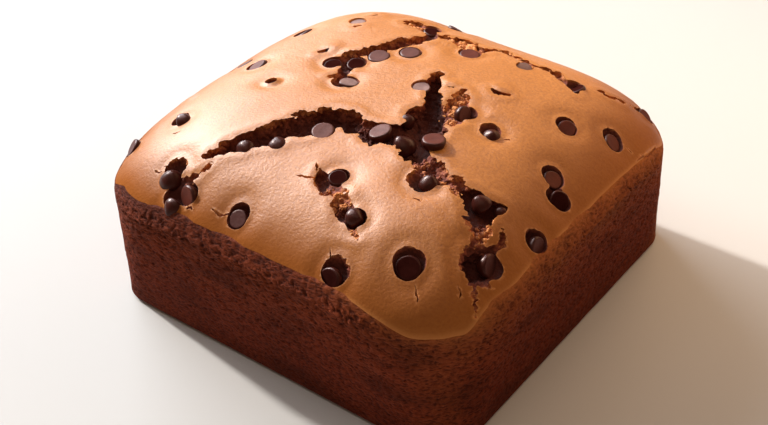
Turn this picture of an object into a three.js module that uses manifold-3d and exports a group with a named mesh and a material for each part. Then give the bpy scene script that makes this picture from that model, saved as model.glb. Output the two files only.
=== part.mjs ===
// Chocolate chip castella: a square sponge block, uncut, with its smooth baked top torn open
// in ragged cracks and dotted with chocolate chips, each lying in its own small pocket.
// Millimetres, +Z up. The origin is the middle of the base, where the cake stands.

import * as THREE from "three";
import { mergeVertices } from "three/addons/utils/BufferGeometryUtils.js";
import Module from "manifold-3d";

// The block, which widens a little from the base up to the rim
const TOP_WIDTH = 180;
const TOP_DEPTH = 176;
const INSET_LEFT = 10.5;
const INSET_RIGHT = 5;
const INSET_FRONT = 5;
const INSET_BACK = 7.5;
const HEIGHT = 81;
const BASE_CORNER_RADIUS = 15;
const RIM_CORNER_RADIUS = 42;
const BASE_EDGE_ROUND = 1.4;

// The pillow of the top: how far it falls to the rim, and how suddenly
const PILLOW_FALL = 25.5;
const PILLOW_POWER = 3.8;
const RIM_DROP = 2.2;
const RIM_BAND = 0.055;
const TOP_SWELL = 0.7;

// How finely the block's surface is stepped
const CORNER_STEPS = 6;
const EDGE_STEPS = 6;
const WALL_LEVELS = [0.5, 1];
const TOP_LEVELS = [0.98, 0.955, 0.91, 0.85, 0.77, 0.68, 0.57, 0.45, 0.32, 0.18];

// A chocolate chip, and the room it has in the sponge
const CHIP_RADIUS = 4.4;
const CHIP_HEIGHT = 6.2;
const CHIP_SIDES = 10;
const CHIP_GAP = 0.4;
const SEAT_SIDES = 8;
const LYING = 50;
const POCKET_SIDES = 9;
const POCKET_MARGIN = 0.9;
const POCKET_DEPTH = 4.2;
const USUAL_REACH = 0.8;
const USUAL_HEADING = 125;

// The cracks' step along their run, and how ragged their lips are
const CRACK_STEP = 5;
const CRACK_RAGGED = 0.2;
const SHALLOWEST = 0.75;
const DEEPEST = 1.15;
const FLOOR_SHARE = 0.55;
const FLOOR_TILT = 0.9;
const CLEAR_ABOVE = 7;
const FULL_DEPTH_WIDTH = 4.5;

// Each crack follows points of x, y and width
const CRACKS = [
  {
    // the long tear across the front left, up to the junction
    depth: 7,
    run: [[-36, -64, 2], [-30, -59, 5], [-22, -50, 9], [-14, -39, 10.5], [-6, -28, 11.5],
      [3, -25, 9.5], [13, -25.5, 10.5], [28, -24.5, 13.5]],
  },
  {
    // the wide branch that runs back from the junction
    depth: 8,
    run: [[29, -27, 13], [27, -17, 13.5], [24, -9, 12], [21, 0, 8.5], [16, 8, 6.5], [9, 18, 4.5]],
  },
  {
    // the crumbled start of the branch towards the front corner
    depth: 4.4,
    run: [[29, -26, 11], [38, -30, 8.5], [46, -33, 6.5], [52, -32, 5], [58, -32.5, 6]],
  },
  {
    // the deep hole in that branch
    depth: 6,
    run: [[57.5, -33, 5], [62, -33.5, 9.5], [66, -32, 10], [70.5, -27, 3]],
  },
  {
    // the broken ground between the hole and the big pocket
    depth: 3.6,
    run: [[65.5, -36, 9], [69, -41, 6.5], [70.5, -45, 3.6], [73, -49, 3]],
  },
  {
    // the curl beside it, round a lifted flap of skin
    depth: 4.5,
    run: [[73.6, -35.2, 2], [76, -36.8, 2.6], [76.7, -40, 3], [75.4, -45, 3.4], [74, -49, 4]],
  },
  {
    // the tail below the big pocket
    depth: 4,
    run: [[77, -56.5, 5], [79.5, -60, 3], [83, -64.5, 1.5]],
  },
  {
    // the arc over the back of the top
    depth: 5,
    run: [[-23, 0, 4], [-28, 8.5, 4.5], [-31, 14.5, 5], [-25, 21, 6], [-20, 30, 6.5], [-15, 38, 6],
      [-13.5, 45, 5.5], [-15, 51, 4]],
  },
  {
    // its thin, broken run on towards the back corner
    depth: 3.5,
    run: [[10, 51, 3], [17, 56, 4], [24, 53.5, 3.5], [31, 52, 3.5], [39, 53.5, 4], [48, 50, 4.5],
      [54, 48, 4.5]],
  },
  {
    depth: 3,
    run: [[59, 58.5, 2.5], [62.5, 59, 3.5], [66, 62.5, 3], [69, 68, 3]],
  },
  {
    // the short tear on the front slope
    depth: 4.6,
    run: [[7, -52, 2], [10.5, -54.5, 5], [17, -57.5, 4.5], [22, -60, 3.4], [27, -62, 3.6],
      [31, -64.5, 4], [37, -68.5, 1.5]],
  },
  {
    // the tail of the long tear, down between the chips at the left
    depth: 3.6,
    run: [[-31, -66.5, 1.5], [-33.5, -70.5, 2.4], [-37, -73.5, 4], [-40, -77, 5]],
  },
  {
    // crumbled shallow patches, where the skin has come away beside a crack
    depth: 2.2,
    run: [[25, 13, 3.5], [27, 8, 6.5], [29, 1, 7], [32, -6, 5.5]],
  },
  {
    depth: 2,
    run: [[-10, 50, 4], [-2, 48.5, 5.5], [5, 47.5, 6], [10, 48, 4]],
  },
];

// Each chip: its place, which way its flat base looks (how far it leans from the skin's normal,
// and towards which heading, in degrees), its size and how deep its base lies. The pocket round
// it may reach further to one heading, or be wider than usual.
const CHIPS = [
  // the cluster on the left slope
  { at: [-81, -61], lean: 20, to: 250, size: 0.9, sunk: -0.6 },
  { at: [-63.2, -50.4], lean: 97, to: 199, size: 0.85, sunk: 2, reach: 2.2, heading: 160 },
  { at: [-46.2, -75.9], lean: 152, to: 250, size: 1, sunk: 3.5, reach: 2, heading: 95 },
  { at: [-33.8, -78.8], lean: 34, to: 252, size: 1, sunk: 0.7, reach: 1, heading: 120 },
  { at: [-38.1, -81.9], lean: 123, to: 88, size: 0.95, sunk: 3, reach: 0.9, heading: 213 },
  { at: [-9.3, -78.5], lean: 4, to: 300, size: 0.88, sunk: 1.2, reach: 2, heading: 110 },
  // along the lower lip of the long tear
  { at: [-24.7, -55], lean: 110, to: 128, size: 0.85, sunk: 2.2, reach: 0 },
  { at: [-13, -50], lean: 130, to: 310, size: 1, sunk: 3.4, reach: 0 },
  { at: [-4, -35], lean: 8, to: 300, size: 1.04, sunk: 0.2, reach: 0 },
  { at: [13.9, -24], lean: 14, to: 200, size: 1.04, sunk: 0, reach: 1.6, heading: 300 },
  { at: [24, -23], lean: 165, to: 20, size: 1.15, sunk: 6.4, reach: 0 },
  { at: [16.7, -12.1], lean: 125, to: 192, size: 0.7, sunk: 2.8, reach: 0 },
  // left and back slopes
  { at: [-63.4, -5.5], lean: 14, to: 240, size: 0.95, sunk: 0.4 },
  { at: [-43.7, -17.8], lean: 30, to: 300, size: 0.62, sunk: 2.6, reach: 0.6 },
  { at: [-68.8, 29.5], lean: 10, to: 180, size: 0.9, sunk: 0.6 },
  { at: [-76, 0], lean: 0, to: 0, size: 0.8, sunk: 0.4 },
  { at: [-75, -33], lean: 20, to: 100, size: 0.7, sunk: 1 },
  { at: [-48.2, 42.2], lean: 8, to: 300, size: 0.85, sunk: 0.6 },
  { at: [-47.4, 56.5], lean: 15, to: 310, size: 0.8, sunk: 1 },
  { at: [-41.6, 17.7], lean: 15, to: 60, size: 0.95, sunk: 0.6, reach: 2.6, heading: 200 },
  // along the arc over the back
  { at: [-32.9, 6.4], lean: 12, to: 310, size: 0.88, sunk: 1.6, reach: 1 },
  { at: [-24, 10.3], lean: 14, to: 310, size: 0.88, sunk: 0.8, reach: 1 },
  { at: [-19.4, 19.2], lean: 6, to: 310, size: 1.05, sunk: 0.1, reach: 0.6 },
  { at: [-16.9, -3.2], lean: 12, to: 60, size: 0.9, sunk: 0.4, reach: 2.6, heading: 200 },
  { at: [-10.7, 28.5], lean: 5, to: 310, size: 1, sunk: 0.2, reach: 0.4 },
  { at: [-18.7, 55.3], lean: 10, to: 300, size: 0.85, sunk: 1.4 },
  { at: [-17.8, 71.4], lean: 10, to: 20, size: 0.8, sunk: 0 },
  { at: [7.8, 43.7], lean: 10, to: 300, size: 1, sunk: 0.8, reach: 0.6 },
  { at: [30.5, 48.5], lean: 30, to: 310, size: 0.8, sunk: 1, reach: 0 },
  { at: [52.4, 51.5], lean: 40, to: 200, size: 0.85, sunk: 1, reach: 0 },
  { at: [73.3, 72.8], lean: 20, to: 330, size: 0.85, sunk: 0.6, reach: 0.6 },
  // the middle and the right-hand slope
  { at: [9, 8.7], lean: 4, to: 310, size: 0.85, sunk: 0.8, reach: 0.4 },
  { at: [17.7, 15.9], lean: 50, to: 20, size: 0.6, sunk: 1.8, reach: 0.6 },
  { at: [32.9, 3.5], lean: 67, to: 355, size: 0.86, sunk: 1.7, reach: 1.4, heading: 60 },
  { at: [35, -20], lean: 8, to: 130, size: 1.04, sunk: -2.6, reach: 0 },
  { at: [46.9, 0.2], lean: 168, to: 118, size: 0.85, sunk: 3.6, reach: 1.4, heading: 291 },
  { at: [34.3, 27.1], lean: 22, to: 320, size: 0.85, sunk: 2.4, reach: 1 },
  { at: [63.4, 26.5], lean: 24, to: 285, size: 0.85, sunk: 1.5, reach: 1.2, heading: 140 },
  { at: [77.3, 38], lean: 13, to: 21, size: 0.9, sunk: 0.9, reach: 1.8, heading: 130 },
  { at: [73.2, 1.1], lean: 8, to: 330, size: 0.88, sunk: 1.3, reach: 1.2, heading: 140 },
  { at: [79.4, -4.1], lean: 26, to: 300, size: 0.92, sunk: 1.5, reach: 0.8, heading: 220 },
  { at: [84.9, -27.1], lean: 29, to: 3, size: 0.98, sunk: 1.2, reach: 1.6, heading: 120 },
  // along the branch towards the front corner, and the front slope
  { at: [45.1, -37], lean: 170, to: 263, size: 0.88, sunk: 3.6, reach: 2.2, heading: 218, wide: 5.6 },
  { at: [64.6, -30.3], lean: 125, to: 20, size: 0.9, sunk: 3.6, reach: 0 },
  { at: [69.6, -28], lean: 159, to: 195, size: 0.6, sunk: 3.3, reach: 0 },
  { at: [79, -47.5], lean: 37, to: 8, size: 1.02, sunk: 2, reach: 4.6, heading: 240, wide: 7.4 },
  { at: [15.8, -51.5], lean: 8, to: 336, size: 0.8, sunk: 0.6, reach: 1 },
  { at: [30.5, -62.8], lean: 121, to: 182, size: 0.85, sunk: 2.6, reach: 2.4, heading: 303 },
  { at: [35.1, -82.6], lean: 21, to: 261, size: 1.04, sunk: 1, reach: 2.4, heading: 60, wide: 5.6 },
  { at: [58, -68], lean: 3, to: 300, size: 1.02, sunk: 1.5, reach: 0.7, heading: 90, wide: 5.8 },
];

const UP = new THREE.Vector3(0, 1, 0);
const degrees = THREE.MathUtils.degToRad;
const mix = THREE.MathUtils.lerp;

// A small repeatable source of unevenness
function seededRandom(seed) {
  let state = seed;
  return () => {
    state = (state * 1664525 + 1013904223) % 4294967296;
    return state / 4294967296;
  };
}

// Height of the baked top over a place on the base plane
function topHeight(x, y) {
  const fallX = Math.abs((2 * x) / TOP_WIDTH) ** PILLOW_POWER;
  const fallY = Math.abs((2 * y) / TOP_DEPTH) ** PILLOW_POWER;
  const swell = TOP_SWELL * Math.sin(x / 17 + 0.8) * Math.cos(y / 21 - 0.5);
  return HEIGHT - TOP_SWELL - PILLOW_FALL * (fallX + fallY) + swell;
}

function topNormal(x, y) {
  const step = 0.5;
  const slopeX = (topHeight(x + step, y) - topHeight(x - step, y)) / (2 * step);
  const slopeY = (topHeight(x, y + step) - topHeight(x, y - step)) / (2 * step);
  return new THREE.Vector3(-slopeX, -slopeY, 1).normalize();
}

// A square with rounded corners, as evenly stepped points that go once round
function roundedSquare(halfX, halfY, radius) {
  const points = [];
  for (let side = 0; side < 4; side += 1) {
    const start = (side * Math.PI) / 2;
    const signX = side === 0 || side === 3 ? 1 : -1;
    const signY = side < 2 ? 1 : -1;
    const centre = new THREE.Vector2(signX * (halfX - radius), signY * (halfY - radius));
    for (let i = 0; i <= CORNER_STEPS; i += 1) {
      const angle = start + ((Math.PI / 2) * i) / CORNER_STEPS;
      const reach = new THREE.Vector2(Math.cos(angle), Math.sin(angle)).multiplyScalar(radius);
      points.push(reach.add(centre));
    }
  }
  const ring = [];
  points.forEach((point, i) => {
    ring.push(point);
    if ((i + 1) % (CORNER_STEPS + 1) === 0) {
      const next = points[(i + 1) % points.length];
      for (let k = 1; k < EDGE_STEPS; k += 1) ring.push(point.clone().lerp(next, k / EDGE_STEPS));
    }
  });
  return ring;
}

// A closed body through rings of equal length, its two ends closed by fans
function loft(rings) {
  const count = rings[0].length;
  const middle = (ring) => ring
    .reduce((sum, point) => sum.add(point), new THREE.Vector3())
    .divideScalar(count);
  const points = [...rings.flat(), middle(rings[0]), middle(rings[rings.length - 1])];
  const faces = [];
  const last = (rings.length - 1) * count;
  for (let i = 0; i < count; i += 1) {
    const j = (i + 1) % count;
    for (let k = 0; k < last; k += count) {
      faces.push(k + i, k + j, k + count + j, k + i, k + count + j, k + count + i);
    }
    faces.push(j, i, points.length - 2);
    faces.push(last + i, last + j, points.length - 1);
  }
  const geometry = new THREE.BufferGeometry();
  const numbers = points.flatMap((p) => p.toArray());
  geometry.setAttribute("position", new THREE.Float32BufferAttribute(numbers, 3));
  geometry.setIndex(faces);
  return geometry;
}

// The whole block before anything is torn out of it: its sides lean in towards the base
function blockGeometry() {
  const ringAt = (level, edge, height) => {
    const low = 1 - level;
    const halfX = (TOP_WIDTH - (INSET_LEFT + INSET_RIGHT) * low) / 2 - edge;
    const halfY = (TOP_DEPTH - (INSET_FRONT + INSET_BACK) * low) / 2 - edge;
    const middleX = ((INSET_LEFT - INSET_RIGHT) * low) / 2;
    const middleY = ((INSET_FRONT - INSET_BACK) * low) / 2;
    const radius = mix(BASE_CORNER_RADIUS, RIM_CORNER_RADIUS, level);
    return roundedSquare(halfX, halfY, radius).map((p) => {
      const x = p.x + middleX;
      const y = p.y + middleY;
      return new THREE.Vector3(x, y, height(x, y));
    });
  };
  const rings = [
    ringAt(0, BASE_EDGE_ROUND, () => 0),
    ringAt(0, 0, () => BASE_EDGE_ROUND),
  ];
  WALL_LEVELS.forEach((level) => {
    rings.push(ringAt(level, 0, (x, y) => level * (topHeight(x, y) - RIM_DROP)));
  });
  const rimRing = roundedSquare(TOP_WIDTH / 2, TOP_DEPTH / 2, RIM_CORNER_RADIUS);
  TOP_LEVELS.forEach((scale) => {
    const drop = RIM_DROP * Math.max(0, 1 - (1 - scale) / RIM_BAND) ** 2;
    rings.push(rimRing.map(({ x, y }) => new THREE.Vector3(
      x * scale,
      y * scale,
      topHeight(x * scale, y * scale) - drop,
    )));
  });
  return loft(rings);
}

// What a crack takes away: a ragged wedge along its run, open above the skin
function crackGeometry({ run, depth }, random) {
  const places = run.map((p) => new THREE.Vector3(...p));
  const curve = new THREE.CatmullRomCurve3(places, false, "centripetal");
  const steps = Math.max(3, Math.round(curve.getLength() / CRACK_STEP));
  const rings = [];
  for (let i = 0; i <= steps; i += 1) {
    const here = curve.getPointAt(i / steps);
    const ahead = curve.getTangentAt(i / steps).setZ(0).normalize();
    const fullness = Math.min(1, here.z / FULL_DEPTH_WIDTH);
    const deep = depth * mix(SHALLOWEST, DEEPEST, random()) * fullness;
    const side = (share, sign) => {
      const ragged = 1 + CRACK_RAGGED * (2 * random() - 1);
      const reach = (here.z / 2) * share * ragged * sign;
      return new THREE.Vector2(here.x - ahead.y * reach, here.y + ahead.x * reach);
    };
    const lip = [side(1, -1), side(1, 1)];
    const floor = [side(FLOOR_SHARE, -1), side(FLOOR_SHARE, 1)];
    const place = (p, rise) => new THREE.Vector3(p.x, p.y, topHeight(p.x, p.y) + rise);
    rings.push([
      place(lip[0], CLEAR_ABOVE),
      place(lip[0], 0),
      place(floor[0], -deep),
      place(floor[1], -deep * FLOOR_TILT),
      place(lip[1], 0),
      place(lip[1], CLEAR_ABOVE),
    ]);
  }
  return loft(rings);
}

// A chip's outline: flat base, round edge and a cone that ends in a blunt tip
function chipGeometry(size) {
  const radius = CHIP_RADIUS * size;
  const height = CHIP_HEIGHT * size;
  const profile = [
    [0, -height],
    [0.36 * radius, -0.8 * height],
    [0.8 * radius, -0.42 * height],
    [radius, -0.12 * height],
    [0.92 * radius, 0],
    [0, 0],
  ].map(([x, y]) => new THREE.Vector2(x, y));
  return new THREE.LatheGeometry(profile, CHIP_SIDES);
}

// The seat that a chip fills, wider than the chip all round, and open over a base that shows
function seatGeometry({ size, lean }) {
  const radius = (CHIP_RADIUS * size + CHIP_GAP) / Math.cos(Math.PI / SEAT_SIDES);
  const height = CHIP_HEIGHT * size;
  const clear = lean < LYING ? CLEAR_ABOVE : CHIP_GAP;
  const profile = [
    [0, -height - 3 * CHIP_GAP],
    [radius, -0.3 * height],
    [radius, clear],
    [0, clear],
  ].map(([x, y]) => new THREE.Vector2(x, y));
  return new THREE.LatheGeometry(profile, SEAT_SIDES);
}

// The open pocket in the skin over a chip
function pocketGeometry(radius) {
  const profile = [
    [0, -POCKET_DEPTH],
    [0.7 * radius, -0.7 * POCKET_DEPTH],
    [radius * 1.1, CLEAR_ABOVE / 3],
    [0, CLEAR_ABOVE / 3],
  ].map(([x, y]) => new THREE.Vector2(x, y));
  return new THREE.LatheGeometry(profile, POCKET_SIDES);
}

// Where a chip's base centre lies and how the chip is turned
function chipPose({ at: [x, y], lean, to, sunk }) {
  const normal = topNormal(x, y);
  const heading = new THREE.Vector3(Math.cos(degrees(to)), Math.sin(degrees(to)), 0);
  const along = heading.addScaledVector(normal, -heading.dot(normal)).normalize();
  const face = normal.clone().multiplyScalar(Math.cos(degrees(lean)));
  face.addScaledVector(along, Math.sin(degrees(lean)));
  const place = new THREE.Vector3(x, y, topHeight(x, y)).addScaledVector(normal, -sunk);
  return new THREE.Matrix4().compose(
    place,
    new THREE.Quaternion().setFromUnitVectors(UP, face),
    new THREE.Vector3(1, 1, 1),
  );
}

function pocketPose({ at: [x, y], reach = USUAL_REACH, heading = USUAL_HEADING }) {
  const px = x + reach * Math.cos(degrees(heading));
  const py = y + reach * Math.sin(degrees(heading));
  return new THREE.Matrix4().compose(
    new THREE.Vector3(px, py, topHeight(px, py)),
    new THREE.Quaternion().setFromUnitVectors(UP, topNormal(px, py)),
    new THREE.Vector3(1, 1, 1),
  );
}

// Points nearer than this are one and the same
const SAME_PLACE = 0.0001;

const wasm = await Module();
wasm.setup();

// Turns a closed geometry into a solid that can be cut
function solid(geometry, matrix = new THREE.Matrix4()) {
  const bare = geometry.clone().applyMatrix4(matrix);
  bare.deleteAttribute("normal");
  bare.deleteAttribute("uv");
  const merged = mergeVertices(bare, SAME_PLACE);
  return new wasm.Manifold(new wasm.Mesh({
    numProp: 3,
    vertProperties: merged.attributes.position.array,
    triVerts: new Uint32Array(merged.index.array),
  }));
}

function geometryOf(body) {
  const mesh = body.getMesh();
  const geometry = new THREE.BufferGeometry();
  geometry.setAttribute("position", new THREE.BufferAttribute(mesh.vertProperties, 3));
  geometry.setIndex(new THREE.BufferAttribute(mesh.triVerts, 1));
  geometry.computeVertexNormals();
  return geometry;
}

function cakeGeometry() {
  const random = seededRandom(7);
  let cake = solid(blockGeometry());
  CRACKS.forEach((crack) => {
    cake = cake.subtract(solid(crackGeometry(crack, random)));
  });
  CHIPS.forEach((chip) => {
    const { size, reach = USUAL_REACH, wide = CHIP_RADIUS * size + POCKET_MARGIN } = chip;
    cake = cake.subtract(solid(seatGeometry(chip), chipPose(chip)));
    if (reach > 0) cake = cake.subtract(solid(pocketGeometry(wide), pocketPose(chip)));
  });
  return geometryOf(cake);
}

const group = new THREE.Group();

const sponge = new THREE.Mesh(
  cakeGeometry(),
  new THREE.MeshStandardMaterial({ color: 0xb07a4a, roughness: 0.75, metalness: 0 }),
);
sponge.name = "cake";
group.add(sponge);

CHIPS.forEach((chip, i) => {
  const piece = new THREE.Mesh(
    chipGeometry(chip.size),
    new THREE.MeshStandardMaterial({ color: 0x3b1f1a, roughness: 0.32, metalness: 0 }),
  );
  piece.name = `chip_${String(i + 1).padStart(2, "0")}`;
  chipPose(chip).decompose(piece.position, piece.quaternion, piece.scale);
  group.add(piece);
});

export default group;
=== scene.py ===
import math
import random

import bpy
import numpy as np
from mathutils import Matrix, Vector, noise


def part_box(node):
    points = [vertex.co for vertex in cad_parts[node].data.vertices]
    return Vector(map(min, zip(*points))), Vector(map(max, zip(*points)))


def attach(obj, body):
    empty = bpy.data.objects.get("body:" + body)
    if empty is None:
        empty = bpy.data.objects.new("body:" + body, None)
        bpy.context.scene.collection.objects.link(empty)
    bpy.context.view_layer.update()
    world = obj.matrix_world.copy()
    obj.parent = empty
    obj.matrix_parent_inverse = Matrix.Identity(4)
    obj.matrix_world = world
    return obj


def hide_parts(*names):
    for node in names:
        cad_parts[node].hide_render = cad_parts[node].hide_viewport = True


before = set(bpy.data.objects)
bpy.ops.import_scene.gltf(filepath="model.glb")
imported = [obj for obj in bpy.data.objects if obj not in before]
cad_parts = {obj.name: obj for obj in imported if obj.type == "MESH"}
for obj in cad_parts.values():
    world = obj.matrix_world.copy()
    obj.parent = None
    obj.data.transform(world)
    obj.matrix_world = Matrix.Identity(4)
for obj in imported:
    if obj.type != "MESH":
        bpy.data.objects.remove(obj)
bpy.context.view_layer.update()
bpy.ops.object.select_all(action="DESELECT")


# ---------------------------------------------------------------------------------------------
# The peeled sides of the sponge, from the base up over the rim to the edge of the baked skin.
# Once the paper is off they are bare crumb, full of fine holes drawn out along the side. The
# sides are made as a tall tube whose upper end turns in over the rim and down inside.
# ---------------------------------------------------------------------------------------------
LOW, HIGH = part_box("cake")
WIDTH = HIGH.x - LOW.x
DEPTH = HIGH.y - LOW.y
HEIGHT = 0.081
# How far the base lies in from the rim at each side, its bevel, and the radius of the corners
INSET_LEFT = 0.0105
INSET_RIGHT = 0.005
INSET_FRONT = 0.005
INSET_BACK = 0.0075
BASE_EDGE = 0.0014
BASE_RADIUS = 0.015
RIM_RADIUS = 0.042
# The fall of the baked top towards its rim, its slight swell, and the drop of the rounded rim
PILLOW_FALL = 0.0255
PILLOW_POWER = 3.8
SWELL = 0.0007
SWELL_LENGTH_X = 0.017
SWELL_LENGTH_Y = 0.021
SWELL_START_X = 0.8
SWELL_START_Y = -0.5
RIM_DROP = 0.0022
RIM_BAND = 0.055
# The baked top is closed by a flat floor inside the cake, and the sides reach a little below it
FLOOR_OF_TOP = 0.042
BELOW_FLOOR = 0.001
# Where the skin ends and how far the sides run on under it, as scales of the rim, and its
# thickness at the edge
SKIN_EDGE = 0.957
SKIN_LAP = 0.012
LAP_EASE = 0.1
SKIN_PROUD = 0.0008
# The tongues of skin over the corners, in shares of the way from one side's middle to the
# next's. The near corner's is wider towards the front, and the left front corner's is shorter.
TONGUE_MIDDLE = 0.505
TONGUE_HALF_WIDTH = 0.075
TONGUE_EASE = 0.1
TONGUE_REACH = 0.993
NEAR_TONGUE_MIDDLE = 0.53
NEAR_TONGUE_EASE = 0.17
NEAR_TONGUE_REACH = 0.998
LEFT_TONGUE_SHORTER = 0.028
LEFT_TONGUE_EASE = 0.06

AROUND = 960
WALL_RINGS = 76
RIM_RINGS = 11


def pillow(x, y):
    """Height of the baked top over a place."""
    fall = np.abs(2 * x / WIDTH) ** PILLOW_POWER + np.abs(2 * y / DEPTH) ** PILLOW_POWER
    swell_x = np.sin(x / SWELL_LENGTH_X + SWELL_START_X)
    swell_y = np.cos(y / SWELL_LENGTH_Y + SWELL_START_Y)
    return HEIGHT - SWELL - PILLOW_FALL * fall + SWELL * swell_x * swell_y


def rim_drop(scale):
    """How far the rounded rim hangs below the pillow, at a scale of 1 on the rim itself."""
    return RIM_DROP * np.clip(1 - (1 - scale) / RIM_BAND, 0, None) ** 2


def quarter_outline(share, half_x, half_y, radius):
    """A quarter of a rounded square, from the middle of its +X side to the middle of +Y."""
    straight = half_y - radius
    bend = radius * math.pi / 2
    run = share * (straight + bend + half_x - radius)
    angle = np.clip((run - straight) / radius, 0, math.pi / 2)
    past = np.clip(run - straight - bend, 0, None)
    x = half_x - radius + radius * np.cos(angle) - past
    y = np.minimum(run, straight) + radius * np.sin(angle)
    return x, y


def skin_edge(share, sign_x, sign_y):
    """Scale of the rim at which the skin ends: a tongue reaches down over each corner."""
    near_corner = (sign_x > 0) & (sign_y < 0)
    left_corner = (sign_x < 0) & (sign_y < 0)
    middle = np.where(near_corner, NEAR_TONGUE_MIDDLE, TONGUE_MIDDLE)
    toward_front = near_corner & (share > middle)
    full = np.where(toward_front, 0.0, TONGUE_HALF_WIDTH)
    ease = np.where(toward_front, NEAR_TONGUE_EASE, TONGUE_EASE)
    off_corner = np.clip((np.abs(share - middle) - full) / ease, 0, 1)
    tongue = 1 - off_corner * off_corner * (3 - 2 * off_corner)
    past_corner = np.clip((share - 0.5) / LEFT_TONGUE_EASE, 0, 1)
    short = np.where(left_corner, LEFT_TONGUE_SHORTER * past_corner, 0)
    reach = np.where(near_corner, NEAR_TONGUE_REACH, TONGUE_REACH) - short
    return SKIN_EDGE + (reach - SKIN_EDGE) * tongue


def coordinates(mesh):
    values = np.empty(len(mesh.vertices) * 3)
    mesh.vertices.foreach_get("co", values)
    return values.reshape(-1, 3)


def set_coordinates(mesh, values):
    mesh.vertices.foreach_set("co", values.ravel())
    mesh.update()


def point_attribute(mesh, name, values):
    layer = mesh.attributes.new(name, "FLOAT", "POINT")
    layer.data.foreach_set("value", np.asarray(values, dtype=np.float32))


def noise_at(points, size, seed=0.0):
    """Smooth noise from about -1 to 1, for points in metres and lumps of the given size."""
    shift = Vector((seed, seed * 1.7, -seed))
    return np.array([noise.noise(Vector(p) / size + shift) for p in points])


# The tube: rings are the wall's levels, then the rim's steps inwards, then the drop inside
rings = 1 + WALL_RINGS + RIM_RINGS + 1
bpy.ops.mesh.primitive_cylinder_add(
    vertices=AROUND, radius=WIDTH / 2, depth=rings, end_fill_type="NGON", location=(0, 0, rings / 2))
sides = bpy.context.object
sides.name = "peeled_sides"
bpy.ops.object.transform_apply(location=True)
bpy.ops.object.mode_set(mode="EDIT")
bpy.ops.mesh.select_mode(type="EDGE")
bpy.ops.mesh.select_all(action="DESELECT")
bpy.ops.object.mode_set(mode="OBJECT")
for edge in sides.data.edges:
    a, b = (sides.data.vertices[i].co.z for i in edge.vertices)
    edge.select = abs(a - b) > 0.5
bpy.ops.object.mode_set(mode="EDIT")
bpy.ops.mesh.subdivide(number_cuts=rings - 1)
bpy.ops.object.mode_set(mode="OBJECT")

place = coordinates(sides.data)
ring = np.rint(place[:, 2]).astype(int)
step_round = np.rint(np.arctan2(place[:, 1], place[:, 0]) / math.tau * AROUND * 2).astype(int)
step_round = (step_round // 2) % AROUND
order = np.argsort(ring * AROUND + step_round)
turn = (np.arange(AROUND) + 0.5) / AROUND * math.tau
sign_x = np.where(np.cos(turn) < 0, -1.0, 1.0)
sign_y = np.where(np.sin(turn) < 0, -1.0, 1.0)
share = np.arctan2(np.abs(np.sin(turn)), np.abs(np.cos(turn))) / (math.pi / 2)


def side_ring(number):
    """The points of one ring of the tube, before any unevenness."""
    if number <= WALL_RINGS + 1:
        level = max(0, number - 1) / WALL_RINGS
        low = 1 - level
        edge = BASE_EDGE if number == 0 else 0
        half_x = (WIDTH - (INSET_LEFT + INSET_RIGHT) * low) / 2 - edge
        half_y = (DEPTH - (INSET_FRONT + INSET_BACK) * low) / 2 - edge
        radius = BASE_RADIUS + (RIM_RADIUS - BASE_RADIUS) * level
        x, y = quarter_outline(share, half_x, half_y, radius)
        x = x * sign_x + (INSET_LEFT - INSET_RIGHT) * low / 2
        y = y * sign_y + (INSET_FRONT - INSET_BACK) * low / 2
        z = BASE_EDGE + level * (pillow(x, y) - RIM_DROP - BASE_EDGE) - edge
    else:
        step = min(number - WALL_RINGS - 1, RIM_RINGS) / RIM_RINGS
        edge = skin_edge(share, sign_x, sign_y)
        scale = 1 + (edge - SKIN_LAP - 1) * step
        rim_x, rim_y = quarter_outline(share, WIDTH / 2, DEPTH / 2, RIM_RADIUS)
        x, y = rim_x * scale * sign_x, rim_y * scale * sign_y
        under = np.clip((edge + LAP_EASE * SKIN_LAP - scale) / SKIN_LAP, 0, 1 + LAP_EASE)
        z = pillow(x, y) - rim_drop(scale) - SKIN_PROUD * under
        if number == rings:
            z = np.full(AROUND, FLOOR_OF_TOP - BELOW_FLOOR)
    return np.stack([x, y, z], axis=1)


lattice = np.array([side_ring(number) for number in range(rings + 1)])
along = np.roll(lattice, -1, axis=1) - np.roll(lattice, 1, axis=1)
upward = np.gradient(lattice, axis=0)
outward = np.cross(along, upward)
outward /= np.linalg.norm(outward, axis=2, keepdims=True)

# Holes: steep little scoops, longer along the side than high. First how many there are, and their
# half length, half height and depth from the least to the most
PIT_COUNT = 15000
PIT_LENGTH = (0.0007, 0.0013)
PIT_HEIGHT = (0.0005, 0.0007)
PIT_DEPTH = 0.0009
LEAST_DEPTH = 0.2
# Then how they are spread: powers that favour the upper part, the small and the shallow ones, and
# the share of the size and depth that is left near the base
UPPER_POWER = 1.2
LOWEST_PIT = 0.97
SMALL_POWER = 3
SHALLOW_POWER = 1.5
SIZE_AT_BASE = 0.3
DEPTH_AT_BASE = 0.35
# And their form: how far they lean, how steep their walls are and how round their floor is
PIT_LEAN = 0.2
PIT_STEEPNESS = 1.6
PIT_ROUNDNESS = 0.6
# The way round the sides, and the height between two rings
GIRTH = 0.64
RING_HEIGHT = 0.00064

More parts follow.
